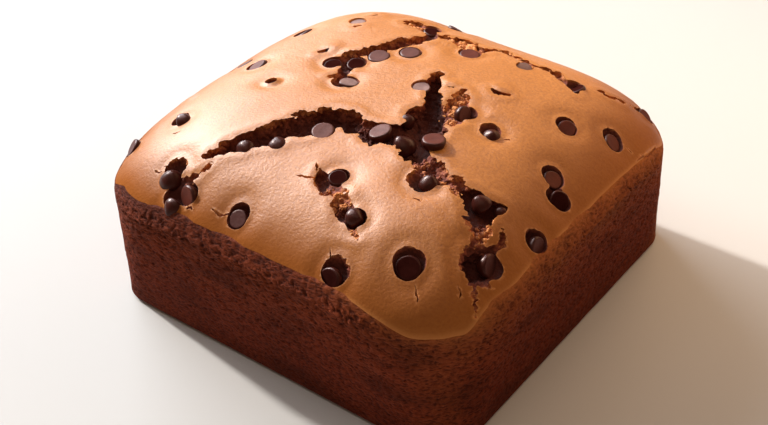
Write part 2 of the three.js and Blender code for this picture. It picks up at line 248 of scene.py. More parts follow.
side_random = np.random.default_rng(11)
hollow = np.zeros(lattice.shape[:2])
step_width = GIRTH / AROUND
for _ in range(PIT_COUNT):
    level = 1 - side_random.random() ** UPPER_POWER * LOWEST_PIT
    centre_ring = 1 + level * (WALL_RINGS + RIM_RINGS - 2)
    centre_step = side_random.integers(AROUND)
    size = side_random.random() ** SMALL_POWER * (SIZE_AT_BASE + (1 - SIZE_AT_BASE) * level)
    half_long = PIT_LENGTH[0] + (PIT_LENGTH[1] - PIT_LENGTH[0]) * size
    half_high = PIT_HEIGHT[0] + (PIT_HEIGHT[1] - PIT_HEIGHT[0]) * size
    most = DEPTH_AT_BASE + (1 - DEPTH_AT_BASE) * level
    deep = LEAST_DEPTH + (1 - LEAST_DEPTH) * side_random.random() ** SHALLOW_POWER * most
    lean = PIT_LEAN * side_random.standard_normal()
    reach_ring = int(np.ceil(half_long / RING_HEIGHT))
    reach_step = int(np.ceil(half_long / step_width)) + 1
    lowest_ring = max(1, int(centre_ring) - reach_ring)
    near_rings = np.arange(lowest_ring, min(rings - 2, int(centre_ring) + reach_ring + 2))
    near_steps = np.arange(centre_step - reach_step, centre_step + reach_step + 1)
    up = (near_rings[:, None] - centre_ring) * RING_HEIGHT
    side = (near_steps[None, :] - centre_step) * step_width
    inside = 1 - ((side + lean * up) / half_long) ** 2 - ((up - lean * side) / half_high) ** 2
    scoop = deep * np.clip(PIT_STEEPNESS * inside, 0, 1) ** PIT_ROUNDNESS
    window = np.ix_(near_rings, near_steps % AROUND)
    hollow[window] = np.maximum(hollow[window], scoop)

# A little tan crust is left below the edge of the skin, in patches: first how far down it fades
# and how much there is of it, at the right, beside the near corner's tongue and elsewhere
FADE = 0.0010
FADE_RIGHT = 0.0065
FADE_BY_TONGUE = 0.6
LEAST_CRUST = 0.1
CRUST_BY_TONGUE = 0.45
RIGHT_EASE = 0.14
RIGHT_PAST_MIDDLE = 0.6
BY_TONGUE_END = 0.85
BY_TONGUE_EASE = 0.25
PATCH_SIZE = 0.011
PATCH_SHARE = 0.85
PATCH_SWING = 0.5
# Then the bands of it up the corners, in the shares that the tongues use
CORNER_MIDDLE = 0.505
CORNER_WIDTH = 0.07
CORNER_CRUST = 0.8
LEFT_CORNER_MIDDLE = 0.445
LEFT_CORNER_WIDTH = 0.045
NEAR_CORNER_CRUST = 0.12
CORNER_SWING = 0.6
CRUST_FILLS = 0.7

lengths = np.linalg.norm(np.diff(lattice, axis=0), axis=2)
run = np.concatenate([np.zeros((1, AROUND)), np.cumsum(lengths, axis=0)])
below_skin = run[WALL_RINGS + 1 + RIM_RINGS] - SKIN_LAP * WIDTH / 2 - run
flat = lattice.reshape(-1, 3)
patchy = noise_at(flat, PATCH_SIZE, seed=9.3).reshape(hollow.shape)
on_right = np.clip((0.5 - share) / RIGHT_EASE + RIGHT_PAST_MIDDLE, 0, 1) * (sign_x > 0)
by_tongue = np.clip((BY_TONGUE_END - share) / BY_TONGUE_EASE, 0, 1) * (sign_x > 0)
fade = FADE + (FADE_RIGHT - FADE) * np.maximum(on_right, FADE_BY_TONGUE * by_tongue)
left_behind = np.maximum(on_right, CRUST_BY_TONGUE * by_tongue)
left_behind = LEAST_CRUST + (1 - LEAST_CRUST) * left_behind
near_skin = left_behind * np.exp(-np.clip(below_skin, 0, None) / fade)
near_skin = near_skin * np.clip(PATCH_SHARE + PATCH_SWING * patchy, 0, 1)
at_left_front = (sign_y < 0) & (sign_x < 0)
at_near_corner = (sign_y < 0) & (sign_x > 0)
corner_middle = np.where(at_left_front, LEFT_CORNER_MIDDLE, CORNER_MIDDLE)
corner_width = np.where(at_left_front, LEFT_CORNER_WIDTH, CORNER_WIDTH)
corner_share = np.where(at_near_corner, NEAR_CORNER_CRUST, CORNER_CRUST)
corner_share = corner_share * np.exp(-(((share - corner_middle) / corner_width) ** 2))
up_corner = corner_share[None, :] * np.clip(PATCH_SHARE + CORNER_SWING * patchy, 0, 1)
crust = np.maximum(near_skin, up_corner)
hollow *= 1 - CRUST_FILLS * crust

# Painted shade: how much darker the crumb is painted just under the skin at the left, and how far down
RIM_SHADE = 0.75
RIM_SHADE_REACH = 0.009
level = np.clip((np.arange(rings + 1) - 1) / WALL_RINGS, 0, 1)
level = np.broadcast_to(level[:, None], hollow.shape)
to_left = np.clip(0.5 - lattice[WALL_RINGS + 1, :, 0] / (WIDTH / 2), 0, 1)
under_skin = RIM_SHADE * to_left * np.exp(-np.clip(below_skin, 0, None) / RIM_SHADE_REACH)

# The crumb's own unevenness: height and size of its waves and lumps. It is least at the base and
# dies out just below the skin.
SIDE_WAVES = (0.00022, 0.009)
SIDE_LUMPS = (0.00012, 0.0030)
SIDE_SINK = 0.0002
NEAR_BASE = 0.3
SMOOTH_BELOW_SKIN = 0.006
waves = SIDE_WAVES[0] * noise_at(flat, SIDE_WAVES[1], seed=3.1)
lumps = SIDE_LUMPS[0] * noise_at(flat, SIDE_LUMPS[1], seed=8.2)
depth_in = PIT_DEPTH * hollow - (waves + lumps).reshape(hollow.shape) + SIDE_SINK
depth_in[0] = 0
depth_in[1] *= NEAR_BASE
depth_in *= np.clip(below_skin / SMOOTH_BELOW_SKIN, 0, 1)
lattice = lattice - outward * depth_in[:, :, None]

moved = np.empty_like(place)
moved[order] = lattice.reshape(-1, 3)
set_coordinates(sides.data, moved)
side_values = {"hollow": hollow, "crust": crust, "level": level, "under_skin": under_skin}
for name, values in side_values.items():
    in_order = np.empty(len(place))
    in_order[order] = values.ravel()
    point_attribute(sides.data, name, in_order)


# ---------------------------------------------------------------------------------------------
# The tears and pockets. The skin sets first in the oven, and the rising sponge tears it open
# into ragged cracks. Each chip near the surface sinks into a pocket of its own. They are
# scooped out as one rough hollow shape, which is then taken away from the cake.
# ---------------------------------------------------------------------------------------------
# Each tear: its depth, then points of x, y and width along its run, in millimetres
TEARS = [
    # the long tear across the front left, up to the junction
    (7.5, [(-36.5, -64.5, 1.5), (-33, -62, 4.5), (-30, -59, 6.5), (-27, -55, 8.5), (-22, -50, 10.5),
           (-18, -45, 12), (-14, -39, 12), (-11, -33, 14), (-6, -28, 13), (0, -25.5, 10), (7, -25, 9),
           (13, -25.5, 11), (20, -24.5, 13.5), (27, -24, 15)]),
    # the wide branch that runs back from the junction
    (8.5, [(29, -25, 15), (27, -17, 14.5), (24, -9, 13), (22, -3, 10), (20, 2, 7.5), (16, 8, 6.5),
           (12, 14, 6), (9, 19, 4)]),
    # the crumbled start of the branch towards the front corner, half filled with torn crumb
    (4.4, [(29, -26, 11), (33, -28, 10), (39, -30.5, 8), (44, -32.5, 6.5)]),
    (2.6, [(42, -31, 8), (47, -33, 6.5), (52, -32, 5.5), (57, -33, 6)]),
    (5, [(47.5, -31.8, 3.5), (50.5, -31.4, 3)]),
    # the deep hole in that branch
    (6.5, [(58, -32.5, 5), (61.5, -33.5, 9.5), (65, -33, 11), (68, -30.5, 6.5), (70.5, -27.3, 2)]),
    # the broken ground between the hole and the big pocket
    (2.4, [(66, -37, 8), (68.5, -40, 8), (70.5, -43, 6), (71.5, -46.5, 3.5)]),
    (4.4, [(66, -38, 4), (67.5, -41.5, 3), (69.5, -45, 2.2), (72.5, -49, 3)]),
    # the curl beside it, round a lifted flap of skin
    (4.5, [(73.2, -34.6, 0.8), (75.3, -35.8, 2), (76.7, -38.7, 2.4), (76.6, -42, 3),
           (75.2, -45.5, 3.4), (73.8, -48.5, 4)]),
    # the tail and the spur of the big pocket
    (3.6, [(77.5, -57, 4.5), (79, -59.3, 2.6), (80.3, -60.8, 1.8), (81.7, -62.4, 1.5), (83, -64.2, 0.8)]),
    (4, [(78.5, -56, 3.5), (80.5, -54.8, 2.2), (82.8, -53.2, 0.8)]),
    # the arc over the back of the top
    (5, [(-25.5, -3, 2.5), (-23, 0.9, 4.5), (-28.4, 8.9, 4.5), (-31.5, 14.5, 5), (-28, 17, 5), (-25, 21, 6),
         (-22, 27, 6.5), (-19, 32.5, 6.5), (-15.3, 38, 6), (-13.2, 44, 6), (-14.6, 51, 5)]),
    # its thin, broken run on towards the back corner
    (3.4, [(9, 50.5, 3), (14, 54.5, 3.6), (18, 56.5, 3)]),
    (1.8, [(20, 55.5, 3.5), (25, 53, 4), (31, 52, 4), (36, 52.7, 3)]),
    (3.4, [(37, 53, 2.5), (42, 52.5, 4), (47, 50.4, 4.5), (51, 49, 5), (54, 47.5, 4.5)]),
    (2.8, [(58.5, 57.5, 1.5), (60, 58.8, 3), (63, 59.3, 3.2), (65.5, 61.8, 3), (67, 64.5, 1.2)]),
    (2.4, [(68.5, 68, 1.5), (70.5, 69.5, 3), (72.5, 70.5, 3)]),
    # the short tear on the front slope: a dark start, crumbled ground with slits, a dark end
    (4.4, [(8, -52.2, 2), (10, -54, 5.2), (12.5, -56, 4.8), (14.5, -57, 2.5)]),
    (1.8, [(14, -56.5, 5), (18, -58, 6.5), (22, -60, 7), (26, -61, 7), (28, -62.5, 5)]),
    (4.2, [(14, -57, 2.6), (17, -58.5, 2.2), (20, -59.3, 1.6), (22, -61, 1.4), (24, -62, 2.4)]),
    (3.8, [(24.5, -57.3, 0.8), (25.8, -59, 1.8), (27, -61.5, 2)]),
    (4.4, [(24, -62.6, 3), (26.5, -63.4, 4.8), (28.5, -64, 4)]),
    (2.2, [(33.5, -65.5, 3.4), (36, -67.5, 2), (38, -69, 0.9)]),
    # the tail of the long tear, down between the chips at the left
    (3.2, [(-31, -66.3, 0.9), (-32, -68.5, 1.8), (-33.3, -70.5, 1.6), (-35.5, -72.3, 2.6),
           (-38, -74.5, 4.5), (-40, -77.5, 4.5)]),
    # crumbled shallow patches, where the skin has come away beside a crack
    (2.2, [(24.5, 13.5, 3.5), (26.5, 8.5, 6.5), (29, 1.5, 7), (31.5, -5, 6)]),
    (2.0, [(-30, 51.5, 4), (-26.5, 53, 7), (-22, 53.5, 7), (-18.5, 51.5, 4)]),
    (2.0, [(-10, 50, 4.5), (-5, 50.5, 7.5), (1, 50.5, 8.5), (6, 50.5, 7), (9, 49.5, 5)]),
    # holes beside chips that the skin has closed over
    (3.4, [(-43.6, 9.6, 1), (-42.2, 11.6, 2.8), (-41, 13.9, 2.2)]),
    (2.4, [(-51.2, 40.7, 1.2), (-50.6, 42.6, 2.2)]),
    (2.4, [(-45.6, 35.4, 1), (-44.4, 36.2, 2.2), (-43, 38, 1.4)]),
    (2.6, [(-47.2, 50.2, 1.2), (-46, 53, 2.6), (-44, 54.6, 1.4)]),
    (3.2, [(16.6, 13.4, 1.4), (18.8, 14.2, 3), (21, 14.6, 1.6)]),
    (3.8, [(30.8, 23, 1.2), (33.4, 22.4, 2.6), (36.2, 22.4, 3.6), (38.8, 24, 2)]),
    (2.2, [(-79, -31, 1), (-76.5, -31, 1.8), (-74, -31.6, 1)]),
    # the deep end of the big pocket by the front corner, and the hole round its chip
    (8, [(74.4, -52.6, 8), (76.2, -51.6, 9.5)]),
    (4.4, [(78.6, -47.9, 9.2), (79.6, -47.2, 9.4)]),
]
# The scoops along a tear: how far apart, how uneven in width and depth, and how far they stray.
# A run narrower than TEAR_FULL_DEPTH_AT is shallower.
TEAR_STEP = 0.0014
TEAR_WIDTHS = (0.82, 1.02)
TEAR_DEPTHS = (0.75, 1.1)
TEAR_FULL_DEPTH_AT = 0.0045
TEAR_RAG = 0.0045
TEAR_FINER_RAG = 2.1
TEAR_RAGGED = 0.3
TEAR_WANDER = 0.312
LIP_UNDERCUT = 0.35
SLOPE_STEP = 0.0005


def normal_at(x, y):
    """Which way the baked top faces at a place."""
    slope_x = (pillow(x + SLOPE_STEP, y) - pillow(x - SLOPE_STEP, y)) / (2 * SLOPE_STEP)
    slope_y = (pillow(x, y + SLOPE_STEP) - pillow(x, y - SLOPE_STEP)) / (2 * SLOPE_STEP)
    return Vector((-slope_x, -slope_y, 1)).normalized()


def through(points, step):
    """Points a step apart along a smooth curve through the given ones."""
    ends = [2 * points[0] - points[1], *points, 2 * points[-1] - points[-2]]
    found = []
    for a, b, c, d in zip(ends, ends[1:], ends[2:], ends[3:]):
        count = max(1, round((c - b).length / step))
        for i in range(count):
            t = i / count
            found.append(0.5 * (2 * b + (c - a) * t + (2 * a - 5 * b + 4 * c - d) * t * t
                                + (3 * b - a - 3 * c + d) * t ** 3))
    return found + [points[-1]]


def scoop_at(centre, up, wide, tall):
    """Where a ball of radius 1 goes as a scoop: its middle, its pole's direction and its size."""
    turned = up.to_track_quat("Z", "Y").to_matrix().to_4x4()
    return Matrix.Translation(centre) @ turned @ Matrix.Diagonal((wide, wide, tall, 1))


tear_random = random.Random(5)
tear_scoops = []
for number, (tear_depth, run) in enumerate(TEARS):
    points = [Vector(p) / 1000 for p in run]
    for x, y, across in through(points, TEAR_STEP):
        wide = across / 2 * tear_random.uniform(*TEAR_WIDTHS)
        deep = tear_depth / 1000 * min(1, across / TEAR_FULL_DEPTH_AT)
        deep *= tear_random.uniform(*TEAR_DEPTHS)
        spot = Vector((x / TEAR_RAG, y / TEAR_RAG, number * 7.3))
        wide *= 1 + TEAR_RAGGED * noise.noise(TEAR_FINER_RAG * spot)
        x += TEAR_WANDER * across * noise.noise(spot)
        y += TEAR_WANDER * across * noise.noise(spot + Vector((31, 0, 0)))
        tall = (1 - LIP_UNDERCUT) * deep
        wide /= math.sqrt(1 - (LIP_UNDERCUT * deep / tall) ** 2)
        up = normal_at(x, y)
        centre = Vector((x, y, pillow(x, y))) - up * LIP_UNDERCUT * deep
        tear_scoops.append(scoop_at(centre, up, wide, tall))


def chip_axes(node):
    """Centre and outward normal of a chip's flat base, its radius and its height."""
    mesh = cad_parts[node].data
    by_normal = {}
    for face in mesh.polygons:
        key = tuple(round(c, 2) for c in face.normal)
        by_normal.setdefault(key, []).append(face)
    flat_faces = max(by_normal.values(), key=lambda faces: sum(face.area for face in faces))
    area = sum(face.area for face in flat_faces)
    centre = sum((face.center * face.area for face in flat_faces), Vector()) / area
    normal = sum((face.normal * face.area for face in flat_faces), Vector()).normalized()
    reaches = [v.co - centre for v in mesh.vertices]
    height = max(-r.dot(normal) for r in reaches)
    radius = max((r - normal * r.dot(normal)).length for r in reaches)
    return centre, normal, radius, height


# The chips: the middle and outward direction of each one's flat base, its radius and its height
CHIPS = {name: chip_axes(name) for name in sorted(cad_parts) if name.startswith("chip_")}
# Chips with no pocket of their own: they lie in a tear or under the skin
NO_POCKET = (7, 8, 9, 10, 11, 12, 17, 18, 19, 20, 23, 29, 30, 32, 33, 35, 37, 44, 45)
# Pockets that aren't the usual size or place, by number: how far the pocket's middle lies from
# the chip's in millimetres, at what heading in degrees, and the radius in millimetres
POCKETS = {
    2: (2.2, 160), 3: (2, 95), 4: (0.6, 120), 5: (1.4, 200), 6: (1, 90), 14: (0.6, 200, 2.6),
    21: (0.6, 125), 22: (0.6, 125), 24: (2.6, 200), 25: (0.3, 125), 28: (0.4, 125),
    31: (0.6, 125), 34: (0.6, 60), 36: (1.6, 130, 4.2), 38: (1, 140), 39: (1.8, 130),
    40: (1, 140), 41: (0.8, 220), 42: (1.4, 150), 43: (2.2, 218, 5.4), 46: (4.6, 240, 7),
    47: (0.6, 60), 48: (2.2, 330), 49: (2.4, 60, 5.4), 50: (0.7, 90, 5.8),
}
USUAL_POCKET = (0.8, 125)
# Chips that the skin has closed over, apart from a small hole: each has a low mound over it
COVERED = (14, 17, 19, 20, 33, 37)
POCKET_MARGIN = 0.4
POCKET_DEPTH = 0.0042
POCKET_SINK = 0.0008
# A chip whose base looks up further than this has a seat open above it, so that no skin covers it
SEAT_FACING = 0.55
SEAT_GAP = 0.0003
SEAT_RISE = 0.001
SEAT_DEPTH = 0.7


def chip_number(name):
    return int(name[-2:])


pocket_scoops = []
pockets = []
for name, (centre, normal, radius, height) in CHIPS.items():
    if chip_number(name) not in NO_POCKET:
        pocket = POCKETS.get(chip_number(name), USUAL_POCKET)
        reach, heading, wide = (*pocket, radius * 1000 + POCKET_MARGIN)[:3]
        x = centre.x + reach / 1000 * math.cos(math.radians(heading))
        y = centre.y + reach / 1000 * math.sin(math.radians(heading))
        up = normal_at(x, y)
        middle = Vector((x, y, pillow(x, y))) - up * POCKET_SINK
        pocket_scoops.append(scoop_at(middle, up, wide / 1000, POCKET_DEPTH))
        pockets.append((x, y, wide / 1000))
    if normal.z > SEAT_FACING and chip_number(name) not in COVERED:
        seat = centre + normal * SEAT_RISE
        pocket_scoops.append(scoop_at(seat, normal, radius + SEAT_GAP, height * SEAT_DEPTH))


def ball_pattern(subdivisions):
    """The points and faces of a ball of radius 1, to be copied many times."""
    bpy.ops.mesh.primitive_ico_sphere_add(subdivisions=subdivisions, radius=1)
    ball = bpy.context.object
    points = coordinates(ball.data)
    faces = np.array([list(face.vertices) for face in ball.data.polygons])
    bpy.data.objects.remove(ball)
    return points, faces


def pick(piece):
    """Selects one piece alone, for the operators that follow."""
    bpy.ops.object.select_all(action="DESELECT")
    piece.select_set(True)
    bpy.context.view_layer.objects.active = piece


def new_piece(name, points, edges, faces):
    """A new piece with its own mesh, picked for the operators that follow."""
    mesh = bpy.data.meshes.new(name)
    mesh.from_pydata(points, edges, faces)
    piece = bpy.data.objects.new(name, mesh)
    bpy.context.collection.objects.link(piece)
    pick(piece)
    return piece


# One ball, copied into every scoop, then fused and roughened
BALL_SUBDIVISIONS = 3
TEAR_VOXEL = 0.00056
ball_points, ball_faces = ball_pattern(BALL_SUBDIVISIONS)
scoop_points = []
scoop_faces = []
for number, matrix in enumerate(tear_scoops + pocket_scoops):
    table = np.array(matrix)
    scoop_points.append(ball_points @ table[:3, :3].T + table[:3, 3])
    scoop_faces.append(ball_faces + number * len(ball_points))
hollows = new_piece("hollows", np.concatenate(scoop_points), [], np.concatenate(scoop_faces))
fuse = hollows.modifiers.new("fuse", "REMESH")
fuse.mode = "VOXEL"
fuse.voxel_size = TEAR_VOXEL
bpy.ops.object.modifier_apply(modifier="fuse")


def beyond_chips(points):
    """How far points lie outside the nearest chip, as if each were a ball round its base."""
    nearest = np.full(len(points), 1.0)
    for centre, _, radius, _ in CHIPS.values():
        nearest = np.minimum(nearest, np.linalg.norm(points - np.array(centre), axis=1) - radius)
    return nearest


# The torn crumb is uneven: height and size of its waves, its round lumps and its grains. The skin
# round a chip stays nearly as smooth as the chip.
TORN_WAVES = (0.0012, 0.0038)
TORN_LUMPS = (0.0020, 0.0024)
TORN_GRAINS = (0.0009, 0.0012)
LUMP_LEVEL = 0.3
SMOOTH_BY_CHIP = 0.0015
SMOOTH_EASE = 0.003
SMOOTHEST = 0.1
place = coordinates(hollows.data)
normals = np.empty(len(place) * 3)
hollows.data.vertex_normals.foreach_get("vector", normals)
waves = TORN_WAVES[0] * noise_at(place, TORN_WAVES[1], seed=1.3)
lumps = TORN_LUMPS[0] * (LUMP_LEVEL - np.abs(noise_at(place, TORN_LUMPS[1], seed=6.1)))
grains = TORN_GRAINS[0] * (LUMP_LEVEL - np.abs(noise_at(place, TORN_GRAINS[1], seed=9.7)))
beside_chip = np.clip((beyond_chips(place) - SMOOTH_BY_CHIP) / SMOOTH_EASE, SMOOTHEST, 1)
uneven = (waves + lumps + grains) * beside_chip
set_coordinates(hollows.data, place + normals.reshape(-1, 3) * uneven[:, None])

# Fine slits in the skin: each is its width, then points of x and y along it, in millimetres
SLITS = [
    (1.1, [(-20.8, -78.9), (-18.8, -79.0), (-16.2, -79.2), (-14.1, -78.2), (-12.2, -77.4)]),
    (0.9, [(-31.5, -81.5), (-29.8, -80.6), (-28.6, -81)]),
    (0.7, [(-48.5, -72.3), (-50.5, -71.3), (-51.8, -71.6)]),
    (1.0, [(5, -50), (6.4, -51.2), (7.4, -52.8)]),
    (0.9, [(1.8, -57.6), (4.4, -57), (6.6, -56.8), (9, -55.5)]),
    (0.9, [(30.2, -74.3), (31.5, -75.8), (32.4, -76.8)]),
    (1.8, [(31.9, -76.2), (32.9, -77.1), (34.1, -78.4), (35, -79.4)]),
    (0.9, [(53.2, -63.8), (54.4, -64.6), (55.6, -65.6)]),
    (0.8, [(62.9, -70.6), (64.2, -71.6), (64.6, -72.4), (65.9, -73.1), (66.4, -74.4)]),
    (0.8, [(42.6, 1.5), (44, 1.3), (45.3, 0.6)]),
    (0.8, [(51, 0.8), (52.4, 2.2), (53.2, 2)]),
    (0.8, [(80.5, 41.5), (81.8, 42), (83, 41.6)]),
    (0.7, [(74.3, -62.2), (76, -63), (76.6, -64.8)]),
    (0.9, [(44.6, -46.5), (46.4, -46), (48.4, -46.4)]),
    (1.0, [(-55.1, -73.4), (-52.5, -73.8), (-50.9, -73.2)]),
    (0.8, [(-56.5, -56.5), (-58, -57.6), (-60, -57.8)]),
    (0.8, [(85.6, 40), (85.5, 45), (85.9, 49), (85.5, 54), (84.8, 59)]),
]
SLIT_DEPTH = 0.0028
SLIT_ABOVE = 0.0008
SLIT_STEP = 0.0005
# A slit is a V that is SLIT_SPREAD times as wide just above the skin, uneven along its run, and
# blunt at its ends
SLIT_SPREAD = 1.6
SLIT_WIDTHS = (0.55, 1.2)
SLIT_ENDS = 0.5
slit_points = []
slit_faces = []
for width, run in SLITS:
    middle = through([Vector((*p, 0)) / 1000 for p in run], SLIT_STEP)
    first = len(slit_points)
    for i, here in enumerate(middle):
        ahead = (middle[min(i + 1, len(middle) - 1)] - middle[max(i - 1, 0)]).normalized()
        across = Vector((-ahead.y, ahead.x, 0))
        fullness = math.sin(math.pi * (i + 0.5) / len(middle)) ** SLIT_ENDS
        half = width / 2000 * fullness * tear_random.uniform(*SLIT_WIDTHS)
        for side, rise in ((SLIT_SPREAD, SLIT_ABOVE), (0, -SLIT_DEPTH * fullness),
                           (-SLIT_SPREAD, SLIT_ABOVE)):
            at = here + across * half * side
            slit_points.append((at.x, at.y, pillow(at.x, at.y) - rim_drop(0) + rise))
    for i in range(len(middle) - 1):
        row = first + 3 * i
        for a, b in ((0, 1), (1, 2), (2, 0)):
            slit_faces.append((row + a, row + b, row + 3 + b, row + 3 + a))
    slit_faces.append((first + 2, first + 1, first))
    last = len(slit_points) - 3
    slit_faces.append((last, last + 1, last + 2))
slits = new_piece("slits", slit_points, [], slit_faces)
bpy.ops.object.mode_set(mode="EDIT")
bpy.ops.mesh.select_all(action="SELECT")
bpy.ops.mesh.normals_make_consistent(inside=False)
bpy.ops.object.mode_set(mode="OBJECT")


# ---------------------------------------------------------------------------------------------
# The baked top: a smooth puffed skin over the sponge, with soft dimples where the chips have
# sunk, lips raised a little along the tears, and its edge lapped over the peeled sides.
# ---------------------------------------------------------------------------------------------
TOP_GRID = 190
SKIN_UNDERCUT = 0.99
# The edge of the skin strays this far, in waves of this size
EDGE_WANDER = 0.002
EDGE_WANDER_SIZE = 0.006
# The dimple round a pocket, with a slight lip at the pocket itself
DIMPLE_DEPTH = 0.0010
DIMPLE_REACH = 0.0042
POCKET_LIP = 0.0004
POCKET_LIP_REACH = 0.0012
# The mound over a covered chip, and the lip raised a little way off each tear
MOUND_COVER = 0.0005
MOUND_MARGIN = 0.0004
LIP_RISE = 0.0004
LIP_AWAY = 0.0012
LIP_REACH = 0.0022
# The skin's own unevenness, height and size, which dies down at the rim
SKIN_WAVES = (0.00018, 0.014)
SKIN_RIPPLES = (0.00005, 0.004)
CALM_RIM = 0.1
CALMEST = 0.2
# Broader hollows in the skin: x, y and radius in millimetres, and the depth in BROAD_DEPTHs
BROAD_DIMPLES = [
    (-58, -60, 14, 1.6), (-40, -76, 13, 1.2), (-9, -75, 11, 1.2), (17, -50, 14, 1.0),
    (8, -22, 13, 1.4), (44, -40, 13, 1.6), (26, -60, 12, 1.2), (36, -80, 12, 1.0), (58, -67, 11, 1.0),
    (74, -48, 12, 1.4), (18, -8, 14, 1.2), (34, 1, 9, 0.8), (-27, 6, 13, 1.2), (-20, 33, 14, 1.0),
    (10, 8, 10, 0.9), (77, -4, 12, 1.0), (84, -28, 9, 0.7), (48, -4, 8, 0.8), (-40, 18, 8, 0.7),
]
BROAD_DEPTH = 0.00022
BROAD_STEEPNESS = 2.2
# The browner band along the edge, partly the skin's own browning and partly painted shade, wider
# and a little weaker at the right, and a thin painted highlight along the rim
BAND_REACH = 0.0125
BAND_WIDER = 0.009
BAND_WEAKER = 0.15
RIGHT_STARTS = 0.45
RIGHT_GROWS_OVER = 0.3
RIM_HIGHLIGHT = 0.6
RIM_HIGHLIGHT_WIDTH = 0.0011
RIM_HIGHLIGHT_STARTS = 0.02
RIM_HIGHLIGHT_GROWS_OVER = 0.02

bpy.ops.mesh.primitive_grid_add(x_subdivisions=TOP_GRID, y_subdivisions=TOP_GRID, size=2)
top = bpy.context.object
top.name = "baked_top"
grid_x, grid_y, _ = coordinates(top.data).T
sign_x, sign_y = np.sign(grid_x), np.sign(grid_y)
grid_x, grid_y = np.abs(grid_x), np.abs(grid_y)
scale = np.maximum(grid_x, grid_y)
safe = np.maximum(scale, 1e-9)
share = np.where(grid_x >= grid_y, 0.5 * grid_y / safe, 1 - 0.5 * grid_x / safe)
rim_x, rim_y = quarter_outline(share, WIDTH / 2, DEPTH / 2, RIM_RADIUS)
rim = np.stack([sign_x * rim_x, sign_y * rim_y, np.zeros(len(share))], axis=1)
edge = skin_edge(share, sign_x, sign_y)
from_edge = (1 - scale) * edge * WIDTH / 2
scale = scale * (edge + EDGE_WANDER * noise_at(rim, EDGE_WANDER_SIZE, seed=2.2))
x, y = rim[:, 0] * scale, rim[:, 1] * scale
z = pillow(x, y) - rim_drop(scale)

sink = np.zeros(len(x))
for pocket_x, pocket_y, wide in pockets:
    beyond = np.clip(np.hypot(x - pocket_x, y - pocket_y) - wide, 0, None)
    dimple = DIMPLE_DEPTH * np.exp(-((beyond / DIMPLE_REACH) ** 2))
    sink = np.maximum(sink, dimple - POCKET_LIP * np.exp(-((beyond / POCKET_LIP_REACH) ** 2)))
for name in CHIPS:
    if chip_number(name) in COVERED:
        centre, _, radius, _ = CHIPS[name]
        mound = np.exp(-(np.hypot(x - centre.x, y - centre.y) / (radius + MOUND_MARGIN)) ** 4)
        lies_above = centre.z - pillow(centre.x, centre.y)
        sink = sink * (1 - mound) - (MOUND_COVER + max(0, lies_above)) * mound
for dimple_x, dimple_y, wide, deep in BROAD_DIMPLES:
    away = np.hypot(x - dimple_x / 1000, y - dimple_y / 1000) / (wide / 1000)
    sink += BROAD_DEPTH * deep * np.exp(-BROAD_STEEPNESS * away ** 2)
to_tear = np.full(len(x), 1.0)
for matrix in tear_scoops:
    middle = matrix.translation
    beside = np.hypot(x - middle.x, y - middle.y) - matrix.to_scale().x
    to_tear = np.minimum(to_tear, beside)
lip = LIP_RISE * np.exp(-(((to_tear - LIP_AWAY) / LIP_REACH) ** 2))
smooth = np.stack([x, y, z], axis=1)
waves = SKIN_WAVES[0] * noise_at(smooth, SKIN_WAVES[1], seed=4.4)
waves += SKIN_RIPPLES[0] * noise_at(smooth, SKIN_RIPPLES[1], seed=7.7)
z = z - sink + lip + waves * np.clip((1 - scale) / CALM_RIM, CALMEST, 1)
set_coordinates(top.data, np.stack([x, y, z], axis=1))

# The browner band by the edge, partly painted shade, widens at the right where the skin turns from the
# light
to_right = np.clip((x / (WIDTH / 2) - RIGHT_STARTS) / RIGHT_GROWS_OVER, 0, 1)
band = np.exp(-((from_edge / (BAND_REACH + BAND_WIDER * to_right)) ** 2))
point_attribute(top.data, "near_edge", (1 - BAND_WEAKER * to_right) * band)
# Painted highlight: a thin paler line along the rim of the skin, from a little right of the middle on
highlight_share = RIM_HIGHLIGHT * np.clip((x - RIM_HIGHLIGHT_STARTS) / RIM_HIGHLIGHT_GROWS_OVER, 0, 1)
point_attribute(top.data, "painted_rim_highlight", highlight_share * np.clip(1 - from_edge / RIM_HIGHLIGHT_WIDTH, 0, 1))

# The rim of the skin is drawn down inside the sides and closed with a flat floor
bpy.ops.object.mode_set(mode="EDIT")
bpy.ops.mesh.select_mode(type="EDGE")
bpy.ops.mesh.select_all(action="SELECT")
bpy.ops.mesh.region_to_loop()
bpy.ops.mesh.extrude_region_move(TRANSFORM_OT_translate={"value": (0, 0, -SKIN_PROUD)})
bpy.ops.transform.resize(value=(SKIN_UNDERCUT, SKIN_UNDERCUT, 1), center_override=(0, 0, 0))
bpy.ops.mesh.extrude_region_move(TRANSFORM_OT_translate={"value": (0, 0, -SKIN_PROUD)})
bpy.ops.transform.resize(value=(1, 1, 0), center_override=(0, 0, FLOOR_OF_TOP))
bpy.ops.mesh.edge_face_add()
bpy.ops.mesh.select_all(action="SELECT")
bpy.ops.mesh.normals_make_consistent(inside=False)
bpy.ops.object.mode_set(mode="OBJECT")


def shader(name):
    """A new material, its node tree and its main shader."""
    material = bpy.data.materials.new(name)
    material.use_nodes = True
    tree = material.node_tree
    return material, tree, tree.nodes["Principled BSDF"]


def set_inputs(tree, node, values):
    """Sets a node's inputs to values, or links them to other nodes' outputs."""
    for key, value in values.items():
        if isinstance(value, bpy.types.NodeSocket):
            tree.links.new(value, node.inputs[key])
        else:
            node.inputs[key].default_value = value


def add(tree, kind, values=None, **settings):
    """A new node with its settings, and with its inputs set or linked."""
    node = tree.nodes.new(kind)
    for key, value in settings.items():
        setattr(node, key, value)
    set_inputs(tree, node, values or {})
    return node


def attribute(tree, name):
    return add(tree, "ShaderNodeAttribute", attribute_name=name).outputs["Fac"]


def clouds(tree, where, scale, detail, roughness=0.5):
    """Cloudy noise over a place, with scale lumps to the metre."""
    values = {"Vector": where, "Scale": scale, "Detail": detail, "Roughness": roughness}
    return add(tree, "ShaderNodeTexNoise", values).outputs["Fac"]


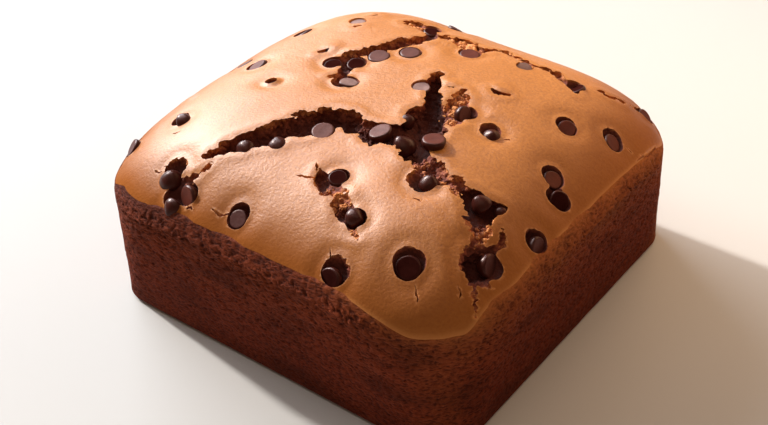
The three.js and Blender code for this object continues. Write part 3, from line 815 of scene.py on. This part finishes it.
def cells(tree, where, scale):
    """Scattered cells over a place: how far it is from the middle of its cell."""
    values = {"Vector": where, "Scale": scale, "Randomness": 1}
    return add(tree, "ShaderNodeTexVoronoi", values).outputs["Distance"]


def maths(tree, operation, *values, **settings):
    values = dict(enumerate(values))
    return add(tree, "ShaderNodeMath", values, operation=operation, **settings).outputs[0]


def spread(tree, value, first, last, to=1):
    """Runs from first to last while a value runs from 0 to the given end."""
    values = {"Value": value, "From Max": to, "To Min": first, "To Max": last}
    return add(tree, "ShaderNodeMapRange", values).outputs[0]


def ramp(tree, value, *stops):
    """A colour ramp over a value, with stops of place and linear colour."""
    node = add(tree, "ShaderNodeValToRGB", {"Fac": value})
    points = node.color_ramp.elements
    while len(points) < len(stops):
        points.new(0.5)
    for point, (position, colour) in zip(points, stops):
        point.position = position
        point.color = (*colour, 1)
    return node.outputs["Color"]


def share_over(tree, value, *stops):
    """A share that runs over a value, with stops of place and share."""
    return ramp(tree, value, *[(position, (share, share, share)) for position, share in stops])


def blend_colour(tree, share, under, over):
    """A colour with a share of another laid over it, each fixed or from a node."""
    node = add(tree, "ShaderNodeMix", {"Factor": share}, data_type="RGBA")
    for number, colour in ((6, under), (7, over)):
        set_inputs(tree, node, {number: (*colour, 1) if isinstance(colour, tuple) else colour})
    return node.outputs[2]


def bump(tree, height, strength, distance, under=None):
    """Fine relief in the shading, laid over another relief where one is given."""
    values = {"Height": height, "Strength": strength, "Distance": distance}
    if under is not None:
        values["Normal"] = under
    return add(tree, "ShaderNodeBump", values).outputs["Normal"]


# Baked skin: satin tan brown, fine in grain, with faint darker specks, browner by its edge, partly as
# painted shade, and a painted highlight along its rim
SPECK_BROWN = (0.24, 0.09, 0.035)
BAND_BROWN_AND_SHADE = (0.235, 0.073, 0.018)
RIM_HIGHLIGHT_TAN = (0.56, 0.235, 0.075)
skin_material, tree, surface = shader("baked_skin")
here = add(tree, "ShaderNodeTexCoord").outputs["Object"]
broad = clouds(tree, here, 38, 3, 0.55)
grain = clouds(tree, here, 900, 4, 0.6)
wrinkles = clouds(tree, here, 420, 2)
near_edge = attribute(tree, "near_edge")
tan = ramp(tree, broad, (0.30, (0.40, 0.145, 0.024)), (0.70, (0.46, 0.172, 0.030)))
mottled = ramp(tree, grain, (0.35, (0.31, 0.100, 0.015)), (0.62, (0.52, 0.198, 0.035)))
colour = blend_colour(tree, 0.5, tan, mottled)
specks = share_over(tree, cells(tree, here, 620), (0.08, 0.5), (0.27, 0))
colour = blend_colour(tree, specks, colour, SPECK_BROWN)
# Browner band by the edge: partly the skin's own browning, partly painted shade
colour = blend_colour(tree, maths(tree, "MULTIPLY", near_edge, 0.9), colour, BAND_BROWN_AND_SHADE)
# Painted highlight: a thin paler line along the skin's rim
colour = blend_colour(tree, attribute(tree, "painted_rim_highlight"), colour, RIM_HIGHLIGHT_TAN)
relief = bump(tree, wrinkles, 0.12, 0.00010)
relief = bump(tree, grain, 0.8, 0.00024, relief)
relief = bump(tree, broad, 0.3, 0.0006, relief)
set_inputs(tree, surface, {
    "Base Color": colour, "Roughness": 0.46, "Specular IOR Level": spread(tree, near_edge, 0.42, 0.0),
    "Normal": relief})

# Torn crumb: orange brown at the lips, painted darker with depth to nearly black brown as painted shade in
# the tears
crumb_material, tree, surface = shader("torn_crumb")
here = add(tree, "ShaderNodeTexCoord").outputs["Object"]
fine_crumb = clouds(tree, here, 700, 5, 0.65)
uneven = maths(tree, "SUBTRACT", fine_crumb, 0.5)
shifted = maths(tree, "MULTIPLY_ADD", uneven, 1.1, attribute(tree, "painted_depth_shade"))
colour = ramp(
    tree, shifted, (0.0, (0.64, 0.262, 0.080)), (0.16, (0.46, 0.160, 0.050)),
    (0.40, (0.235, 0.058, 0.030)), (0.85, (0.084, 0.018, 0.012)))
relief = bump(tree, fine_crumb, 0.7, 0.0005)
relief = bump(tree, cells(tree, here, 800), 0.5, 0.0006, relief)
set_inputs(tree, surface, {
    "Base Color": colour, "Roughness": 0.75, "Specular IOR Level": 0.18, "Normal": relief})

# Peeled sponge: dark reddish brown, with fine holes drawn out along the side that are painted darker as
# painted shade
STREAK_AND_SHADE_BROWN = (0.052, 0.010, 0.005)
PORE_SHADE_BROWN = (0.040, 0.008, 0.0045)
HOLE_SHADE_BROWN = (0.034, 0.007, 0.004)
PORE_SWAY = (0.0016, 0.0016, 0.0016)
side_material, tree, surface = shader("peeled_sponge")
here = add(tree, "ShaderNodeTexCoord").outputs["Object"]
wobble = add(tree, "ShaderNodeTexNoise", {"Vector": here, "Scale": 420, "Detail": 2})
sway = add(tree, "ShaderNodeVectorMath", {0: wobble.outputs["Color"], 1: PORE_SWAY}, operation="MULTIPLY")
swayed = add(tree, "ShaderNodeVectorMath", {0: here, 1: sway.outputs[0]}, operation="ADD").outputs[0]
drawn_out = add(tree, "ShaderNodeMapping", {"Vector": swayed, "Scale": (1, 1, 2.8)}).outputs[0]
pores = cells(tree, drawn_out, 430)
side_grain = clouds(tree, drawn_out, 700, 5, 0.65)
crust_share = attribute(tree, "crust")
colour = ramp(
    tree, attribute(tree, "level"), (0.0, (0.096, 0.013, 0.006)), (0.35, (0.130, 0.018, 0.007)),
    (0.8, (0.190, 0.034, 0.012)), (1.0, (0.21, 0.042, 0.014)))
grainy = ramp(tree, side_grain, (0.36, (0.070, 0.011, 0.005)), (0.62, (0.26, 0.053, 0.019)))
colour = blend_colour(tree, 0.45, colour, grainy)
flattened = add(tree, "ShaderNodeMapping", {"Vector": here, "Scale": (1, 1, 3)}).outputs[0]
streaks = share_over(tree, clouds(tree, flattened, 34, 3), (0.44, 0), (0.68, 0.55))
# Darker streaks along the side, the sponge's own tone
colour = blend_colour(tree, streaks, colour, STREAK_AND_SHADE_BROWN)
crust_colour = ramp(tree, side_grain, (0.3, (0.30, 0.092, 0.023)), (0.7, (0.38, 0.128, 0.033)))
colour = blend_colour(tree, crust_share, colour, crust_colour)
# Painted shade: the crumb just under the skin at the left is painted darker
colour = blend_colour(tree, attribute(tree, "under_skin"), colour, STREAK_AND_SHADE_BROWN)
# Painted shade: the fine holes, and the deeper parts of the pits, are painted darker
painted_pore_shade = share_over(tree, pores, (0.20, 0.8), (0.48, 0))
bare = maths(tree, "SUBTRACT", 1.0, crust_share, use_clamp=True)
colour = blend_colour(tree, maths(tree, "MULTIPLY", painted_pore_shade, bare), colour, PORE_SHADE_BROWN)
painted_hole_shade = share_over(tree, attribute(tree, "hollow"), (0.2, 0), (0.9, 0.85))
colour = blend_colour(tree, painted_hole_shade, colour, HOLE_SHADE_BROWN)
relief = bump(tree, side_grain, 0.7, 0.0005)
relief = bump(tree, pores, 0.7, 0.0007, relief)
set_inputs(tree, surface, {
    "Base Color": colour, "Roughness": 0.85, "Specular IOR Level": 0.08, "Normal": relief})


def cut_out_doubled_faces(piece):
    """Cuts out faces that lie back to back on the same corners, since they enclose nothing."""
    bpy.ops.object.mode_set(mode="EDIT")
    bpy.ops.mesh.select_mode(type="FACE")
    bpy.ops.mesh.select_all(action="DESELECT")
    bpy.ops.object.mode_set(mode="OBJECT")
    on_corners = {}
    for face in piece.data.polygons:
        on_corners.setdefault(frozenset(face.vertices), []).append(face)
    for faces in on_corners.values():
        for face in faces:
            face.select = len(faces) > 1
    bpy.ops.object.mode_set(mode="EDIT")
    bpy.ops.mesh.delete(type="FACE")
    bpy.ops.object.mode_set(mode="OBJECT")


# Painted shade: how deep a tear is where its crumb is painted darkest, and how much darker the crumb is
# painted round a chip
TEAR_DARK_AT = 0.007
POCKET_SHADE = 0.55
POCKET_SHADE_REACH = 0.004
POCKET_SHADE_BELOW = 0.0016
SMOOTH_ANGLE = 38
for cutter in (hollows, slits):
    cutter.data.materials.append(crumb_material)
for piece, material in ((sides, side_material), (top, skin_material)):
    piece.data.materials.append(material)
    piece.data.materials.append(crumb_material)
    pick(piece)
    for cutter in (hollows, slits):
        cut = piece.modifiers.new("tear", "BOOLEAN")
        cut.operation = "DIFFERENCE"
        cut.object = cutter
        cut.solver = "MANIFOLD"
        cut.material_mode = "TRANSFER"
        bpy.ops.object.modifier_apply(modifier="tear")
    cut_out_doubled_faces(piece)
    # Painted shade: crumb is painted darker the deeper it lies below the top, and darker still round the
    # chips
    points = coordinates(piece.data)
    below = pillow(points[:, 0], points[:, 1]) - points[:, 2]
    shade = np.clip(1 - beyond_chips(points) / POCKET_SHADE_REACH, 0, 1)
    shade = POCKET_SHADE * (shade * np.clip(below / POCKET_SHADE_BELOW, 0, 1))
    point_attribute(piece.data, "painted_depth_shade", np.clip(below / TEAR_DARK_AT + shade, 0, 1))
    bpy.ops.object.shade_smooth_by_angle(angle=math.radians(SMOOTH_ANGLE))
    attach(piece, "root")
    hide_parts("cake")
bpy.data.objects.remove(hollows)
bpy.data.objects.remove(slits)


# ---------------------------------------------------------------------------------------------
# The loose crumb: ragged grains of torn sponge that still cling to the lips and the floors of
# the cracks. One round grain is copied into a single mesh, each copy squeezed its own way.
# ---------------------------------------------------------------------------------------------
# Each heap: x, y, spread, how many grains, and how far the largest reaches with its bumps, in
# millimetres
CRUMB_HEAPS = [
    (-28, 52, 2.6, 9, 2.8), (-23, 53, 2.8, 9, 2.6), (-8, 49.8, 2.2, 7, 2.2), (-3, 50.5, 3.0, 11, 2.8),
    (3, 50.5, 3.2, 12, 3.0), (-27, 52.5, 2.8, 30, 1.2), (-22, 53.5, 2.6, 26, 1.2), (0, 51, 4.0, 50, 1.2),
    (8, 47, 2.0, 6, 2.2), (26, 53.4, 2.2, 5, 1.8), (33, 52.4, 2.2, 5, 1.8), (70, 69, 2.0, 5, 1.6),
    (26, 8.5, 2.2, 6, 1.8), (28.5, 2.5, 2.6, 8, 2.0), (30.5, -4, 2.4, 7, 1.9), (-30, 15.5, 1.6, 4, 1.8),
    (36, -29.5, 3.0, 9, 2.0), (42, -32, 3.0, 9, 2.0), (47.5, -34, 2.2, 6, 1.9), (55.5, -33, 2.4, 6, 1.7),
    (68, -39, 2.4, 8, 2.0), (70.5, -42, 2.0, 6, 1.8), (18, -58.5, 2.4, 6, 1.5), (24, -60.5, 2.4, 6, 1.6),
    (-9, -31, 3.0, 8, 1.9), (-17, -42, 3.0, 6, 1.8), (22, -26, 4.0, 9, 2.0), (25, -12, 3.0, 6, 1.8),
    (-27.5, 12, 1.6, 5, 1.6), (-22, 26, 2.0, 5, 1.5), (-16, 38, 2.0, 5, 1.5),
    (33, -28, 3.0, 26, 1.0), (38, -30.5, 3.2, 36, 1.1), (44, -33, 2.6, 30, 1.0), (48, -34.5, 2.2, 26, 0.9),
    (53.5, -32.5, 2.0, 22, 0.9), (57, -34.5, 2.0, 22, 1.0), (66.5, -38, 2.2, 22, 0.9),
    (69.5, -39.5, 2.4, 34, 1.0),
    (71, -42.5, 2.0, 30, 1.0), (71.5, -46, 1.6, 16, 0.8), (79.6, -60, 1.4, 12, 0.6),
    (24.5, 13, 2.0, 22, 0.8), (25.5, 8.5, 2.6, 46, 0.9), (28, 3, 2.8, 50, 1.0), (30, -3, 2.6, 40, 0.9),
    (31.5, -8, 2.4, 22, 0.9), (34, -12.5, 2.0, 14, 0.8),
    (16, -57.5, 2.4, 30, 0.8), (20, -59.5, 2.6, 40, 0.9), (24, -60.5, 2.6, 40, 0.9),
    (27.5, -60.5, 2.2, 26, 0.8),
    (35, -66.5, 1.6, 14, 0.6), (12, -53, 1.6, 10, 0.6),
    (-25, 50, 2.4, 36, 1.1), (-21, 49.5, 1.8, 16, 0.9), (-8.5, 49.5, 2.4, 34, 1.0), (-4, 48, 2.6, 44, 1.1),
    (1, 47.5, 2.6, 46, 1.2), (6, 48, 2.4, 40, 1.1), (8, 46.5, 2.2, 30, 1.1), (20, 55.5, 1.8, 14, 0.8),
    (25, 53.5, 2.4, 34, 1.0), (30, 52, 2.4, 34, 1.0), (35.5, 52.8, 1.8, 24, 0.9), (40, 53, 1.8, 14, 0.8),
    (60, 59.5, 1.8, 12, 0.6), (69.5, 68.8, 2.2, 26, 0.8), (72, 70.5, 1.8, 14, 0.8),
    (-29.5, 16, 2.0, 26, 0.9), (-27, 18.5, 1.8, 16, 0.8), (-30, 11, 1.6, 12, 0.7), (-24.5, 2, 1.6, 12, 0.8),
    (-33.5, -71, 1.6, 14, 0.7), (-36.5, -74.5, 2.0, 14, 0.8), (-31, -64, 1.8, 12, 0.7),
    (-12, -35, 3.4, 26, 0.9), (-18, -44, 3.2, 22, 0.8), (-24, -51.5, 2.6, 16, 0.8), (-5, -27, 3.2, 26, 0.9),
    (4, -23.5, 2.6, 30, 1.0), (10, -25, 3.0, 22, 0.9), (20, -27, 3.4, 26, 0.9), (26, -22, 4.0, 26, 0.9),
    (24, -9, 3.2, 18, 0.8), (20, 3, 2.4, 12, 0.7), (-18, 33.5, 2.6, 14, 0.8), (-14, 43, 2.4, 12, 0.8),
]
# A grain without its bumps, the smallest beside the largest, and a power that favours small ones
GRAIN_CORE = 0.66
SMALLEST_GRAIN = 0.35
SMALL_GRAIN_POWER = 1.5
# How strong and how large the bumps are, how much a grain is squeezed, and how deep it sits
GRAIN_BUMPS = 0.65
GRAIN_BUMP_SIZE = 0.6
GRAIN_STRETCH = 0.55
GRAIN_SEAT = -0.1
RAY_HEIGHT = 0.12
# Painted shade: the depths at which the loose crumb is painted palest and darkest
CRUMB_PALE_AT = 0.0008
CRUMB_DARKENS_OVER = 0.006
GRAIN_SUBDIVISIONS = 2

grain_points, grain_faces = ball_pattern(GRAIN_SUBDIVISIONS)
bpy.context.view_layer.update()
crumb_random = random.Random(23)
crumb_points = []
crumb_faces = []
for x, y, spread_out, count, largest in CRUMB_HEAPS:
    for _ in range(count):
        away = spread_out / 1000 * math.sqrt(crumb_random.random())
        heading = crumb_random.uniform(0, math.tau)
        above = Vector((x / 1000 + away * math.cos(heading), y / 1000 + away * math.sin(heading),
                        RAY_HEIGHT))
        hits = [(piece, *piece.ray_cast(above, (0, 0, -1))) for piece in (sides, top)]
        piece, found, spot, up, face = max(hits, key=lambda hit: hit[2].z if hit[1] else -1)
        on_torn_ground = piece.data.polygons[face].material_index == 1
        fullness = crumb_random.random() ** SMALL_GRAIN_POWER
        size = largest / 1000 * GRAIN_CORE * (SMALLEST_GRAIN + (1 - SMALLEST_GRAIN) * fullness)
        bumps = noise_at(grain_points, GRAIN_BUMP_SIZE, seed=crumb_random.uniform(0, 90))
        squeeze = 1 + GRAIN_STRETCH * (np.array([crumb_random.random() for _ in range(3)]) - 0.5)
        pole = Vector([crumb_random.uniform(-1, 1) for _ in range(3)])
        turned = np.array(pole.to_track_quat("Z", "Y").to_matrix())
        shaped = (grain_points * (1 + GRAIN_BUMPS * bumps)[:, None] * squeeze * size) @ turned.T
        if on_torn_ground:
            crumb_faces.append(grain_faces + len(crumb_points) * len(grain_points))
            crumb_points.append(shaped + np.array(spot + up * size * GRAIN_SEAT))
crumbs = new_piece("sponge_crumbs", np.concatenate(crumb_points), [], np.concatenate(crumb_faces))
bpy.ops.object.shade_smooth()
# Painted shade: each grain is painted darker the deeper it lies
points = coordinates(crumbs.data)
below = pillow(points[:, 0], points[:, 1]) - points[:, 2]
painted_depth_shade = np.clip((below - CRUMB_PALE_AT) / CRUMB_DARKENS_OVER, 0, 1)
point_attribute(crumbs.data, "painted_depth_shade", painted_depth_shade)
crumbs.data.materials.append(crumb_material)
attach(crumbs, "root")


# ---------------------------------------------------------------------------------------------
# The chocolate chips: dark drops with a flat base, baked in mostly base up. One chip is spun
# from its outline, and each of the fifty is a copy, a little uneven, laid where its node is.
# ---------------------------------------------------------------------------------------------
CHIP_STEPS = 28
# The looks of the flat bases, as places on one scale, and the chips that have each one. Besides the
# chips' own tones, the pale and pinkish looks partly paint a reflection of the window, and the dark
# look partly paints shade. The rest have a grey bloom on it.
DARK = 0
BLOOM = 0.25
PINKISH = 0.5
PALE = 0.75
REDDISH = 1
BASE_LOOKS_AND_PAINTED_LIGHT = {
    DARK: (21, 22, 26, 30, 41, 47, 49, 50),
    PINKISH: (9, 10, 13, 23, 25, 34),
    PALE: (18, 24, 29, 32),
    REDDISH: (4, 5, 28, 31, 35, 36, 37, 38, 39, 40),
}
# How uneven a chip is, how much smaller that leaves it, and how far its tip leans
CHIP_LUMPS = 0.07
CHIP_LUMP_SIZE = 0.9
CHIP_SHRINK = 0.985
CHIP_LEAN = 0.16
# The flat base ends in a thin ring at this radius, and lies above this depth
BASE_RADIUS_SHARE = 0.9
BASE_RING = 0.08
BASE_LIES_ABOVE = -0.05
# The outline from the middle of the flat base to the blunt tip, as radius and depth of 1
CHIP_OUTLINE = [
    (0.0, 0.012), (0.45, 0.010), (0.70, 0.004), (0.80, 0.002), (0.87, 0.010), (0.93, 0.035),
    (0.975, 0.08), (0.998, 0.14), (1.0, 0.21), (0.98, 0.3), (0.93, 0.4), (0.85, 0.51), (0.74, 0.62),
    (0.61, 0.72), (0.48, 0.8), (0.35, 0.87), (0.23, 0.92), (0.11, 0.95), (0.0, 0.96)]

DUSKY = (0.040, 0.010, 0.008)
CHOCOLATE_SHEEN = (1.0, 0.74, 0.66, 1)
chip_material, tree, surface = shader("dark_chocolate")
here = add(tree, "ShaderNodeTexCoord").outputs["Object"]
on_base = attribute(tree, "on_base")
look = attribute(tree, "base_kind")
cloud = clouds(tree, here, 320, 3, 0.6)
dust = clouds(tree, here, 1800, 3, 0.6)
side_colour = ramp(tree, cloud, (0.3, (0.032, 0.0062, 0.0045)), (0.7, (0.052, 0.0115, 0.0075)))
# Base tones: the pale and pinkish ones partly a painted reflection, the dark one partly painted shade
base_tone = ramp(
    tree, look, (DARK, (0.024, 0.005, 0.004)), (BLOOM, (0.078, 0.024, 0.020)),
    (PINKISH, (0.125, 0.046, 0.037)), (PALE, (0.29, 0.19, 0.175)), (REDDISH, (0.115, 0.025, 0.014)))
smudges = share_over(tree, cloud, (0.3, 0.5), (0.7, 0))
base_colour = blend_colour(tree, smudges, base_tone, DUSKY)
base_shine = spread(tree, look, 0.0, 0.14, to=BLOOM)
shine = add(tree, "ShaderNodeMix", {0: on_base, 2: 0.21, 3: base_shine}).outputs[0]
relief = bump(tree, dust, 0.25, 0.0001)
relief = bump(tree, cloud, 0.3, 0.0005, relief)
set_inputs(tree, surface, {
    "Base Color": blend_colour(tree, on_base, side_colour, base_colour),
    "Roughness": spread(tree, on_base, 0.29, 0.55), "Specular IOR Level": shine,
    "Specular Tint": CHOCOLATE_SHEEN, "Normal": relief})

outline_edges = [(i, i + 1) for i in range(len(CHIP_OUTLINE) - 1)]
chip_pattern = new_piece("chip_pattern", [(r, 0, -z) for r, z in CHIP_OUTLINE], outline_edges, [])
bpy.ops.object.mode_set(mode="EDIT")
bpy.ops.mesh.select_all(action="SELECT")
bpy.ops.mesh.spin(steps=CHIP_STEPS, angle=math.tau, center=(0, 0, 0), axis=(0, 0, 1))
bpy.ops.mesh.select_all(action="SELECT")
bpy.ops.mesh.remove_doubles(threshold=0.0005)
bpy.ops.mesh.normals_make_consistent(inside=False)
bpy.ops.object.mode_set(mode="OBJECT")
bpy.ops.object.shade_smooth()
pattern_points = coordinates(chip_pattern.data)
from_axis = np.hypot(pattern_points[:, 0], pattern_points[:, 1])
on_base = np.clip((BASE_RADIUS_SHARE - from_axis) / BASE_RING, 0, 1)
on_base = on_base * (pattern_points[:, 2] > BASE_LIES_ABOVE)
look_of = {number: look for look, numbers in BASE_LOOKS_AND_PAINTED_LIGHT.items() for number in numbers}

for number, (name, (centre, normal, radius, height)) in enumerate(CHIPS.items()):
    mesh = chip_pattern.data.copy()
    chip = bpy.data.objects.new(name.replace("chip", "chocolate_chip"), mesh)
    bpy.context.collection.objects.link(chip)
    lumps = 1 + CHIP_LUMPS * noise_at(pattern_points, CHIP_LUMP_SIZE, seed=number * 3.3)
    shaped = pattern_points * lumps[:, None] * CHIP_SHRINK
    lean_x, lean_y = noise.noise((number * 1.7, 0, 5)), noise.noise((0, number * 1.7, 9))
    shaped[:, 0] += CHIP_LEAN * lean_x * pattern_points[:, 2] ** 2
    shaped[:, 1] += CHIP_LEAN * lean_y * pattern_points[:, 2] ** 2
    turned = np.array(normal.to_track_quat("Z", "Y").to_matrix())
    set_coordinates(mesh, (shaped * np.array([radius, radius, height])) @ turned.T + np.array(centre))
    point_attribute(mesh, "on_base", on_base)
    look = look_of.get(chip_number(name), BLOOM)
    point_attribute(mesh, "base_kind", np.full(len(pattern_points), look))
    mesh.materials.append(chip_material)
    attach(chip, "root")
    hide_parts(name)
bpy.data.objects.remove(chip_pattern)


# ---------------------------------------------------------------------------------------------
# The stand, the lights and the view: a pale matt floor, a low sun from the left and behind,
# broad pale panels and a warm one for the sheen of the skin, pale light all round, and the
# camera at the front corner, looking down.
# ---------------------------------------------------------------------------------------------
FLOOR_SIZE = 6
FLOOR_GAP = 0.0002
floor_material, tree, surface = shader("pale_floor")
set_inputs(tree, surface, {"Base Color": (0.50, 0.50, 0.49, 1), "Roughness": 0.8})
bpy.ops.mesh.primitive_plane_add(size=FLOOR_SIZE, location=(0, 0, -FLOOR_GAP))
floor = bpy.context.object
floor.name = "pale_floor_plane"
bpy.ops.object.transform_apply(location=True)
floor.data.materials.append(floor_material)


def add_light(kind, name, heading, rise, distance, energy, colour):
    """A light that shines at the cake, from a heading and a rise in degrees."""
    heading, rise = math.radians(heading), math.radians(rise)
    toward = Vector((math.cos(heading) * math.cos(rise), math.sin(heading) * math.cos(rise),
                     math.sin(rise)))
    bpy.ops.object.light_add(type=kind, location=toward * distance)
    light = bpy.context.object
    light.name = name
    light.rotation_euler = toward.to_track_quat("Z", "Y").to_euler()
    light.data.energy = energy
    light.data.color = colour
    return light


def add_panel(name, heading, rise, distance, width, height, energy, colour):
    """A flat panel that gives off soft light, turned towards the cake."""
    panel = add_light("AREA", name, heading, rise, distance, energy, colour)
    panel.data.shape = "RECTANGLE"
    panel.data.size = width
    panel.data.size_y = height
    return panel


SUN_WIDTH = 3
sun = add_light("SUN", "window_light", 175, 33, 0, 4.35, (1.0, 0.94, 0.88))
sun.data.angle = math.radians(SUN_WIDTH)
# A broad pale window low at the back left, a pale ceiling that only the sheen of the skin shows,
# a weak light from above, and a weak warm one from the back right, as from a wooden board
add_panel("window_sheen", 166, 28, 1.2, 1.0, 0.6, 21, (0.86, 0.92, 1.0))
ceiling = add_panel("ceiling_sheen", 166, 54, 1.2, 1.0, 0.8, 18, (0.92, 0.94, 1.0))
ceiling.visible_diffuse = False
add_panel("ceiling_fill", 300, 72, 1.2, 0.8, 0.8, 1.7, (1.0, 0.84, 0.68))
bounce = add_panel("warm_bounce", 62, 40, 0.32, 0.36, 0.2, 0.5, (1.0, 0.62, 0.34))
bounce.visible_camera = False

ROOM_COLOUR = (1.0, 0.72, 0.55, 1)
ROOM_STRENGTH = 0.26
world = bpy.data.worlds.new("pale_room")
bpy.context.scene.world = world
world.use_nodes = True
room = world.node_tree.nodes["Background"]
set_inputs(world.node_tree, room, {"Color": ROOM_COLOUR, "Strength": ROOM_STRENGTH})

# The view: how far it is turned, raised and rolled, in radians, and its distance from the cake
VIEW_TURN = 0.668
VIEW_RISE = 0.640
VIEW_ROLL = -0.037
VIEW_DISTANCE = 0.50198
VIEW_SHIFT_RIGHT = -0.002778
VIEW_SHIFT_UP = -0.022445
VIEW_LENS = 59.65
VIEW_MIDDLE = Vector((0, 0, 0.05))
back = Vector((math.sin(VIEW_TURN) * math.cos(VIEW_RISE), -math.cos(VIEW_TURN) * math.cos(VIEW_RISE),
               math.sin(VIEW_RISE)))
right = Vector((math.cos(VIEW_TURN), math.sin(VIEW_TURN), 0))
up = back.cross(right)
rolled_right = math.cos(VIEW_ROLL) * right + math.sin(VIEW_ROLL) * up
rolled_up = math.cos(VIEW_ROLL) * up - math.sin(VIEW_ROLL) * right
camera_place = (VIEW_MIDDLE + back * VIEW_DISTANCE + rolled_right * VIEW_SHIFT_RIGHT
                + rolled_up * VIEW_SHIFT_UP)
bpy.ops.object.camera_add()
camera = bpy.context.object
camera.name = "front_corner_camera"
camera.data.lens = VIEW_LENS
camera.data.clip_start = 0.01
camera.matrix_world = Matrix((rolled_right, rolled_up, back)).transposed().to_4x4()
camera.location = camera_place
bpy.context.scene.camera = camera
bpy.context.scene.view_settings.view_transform = "Standard"
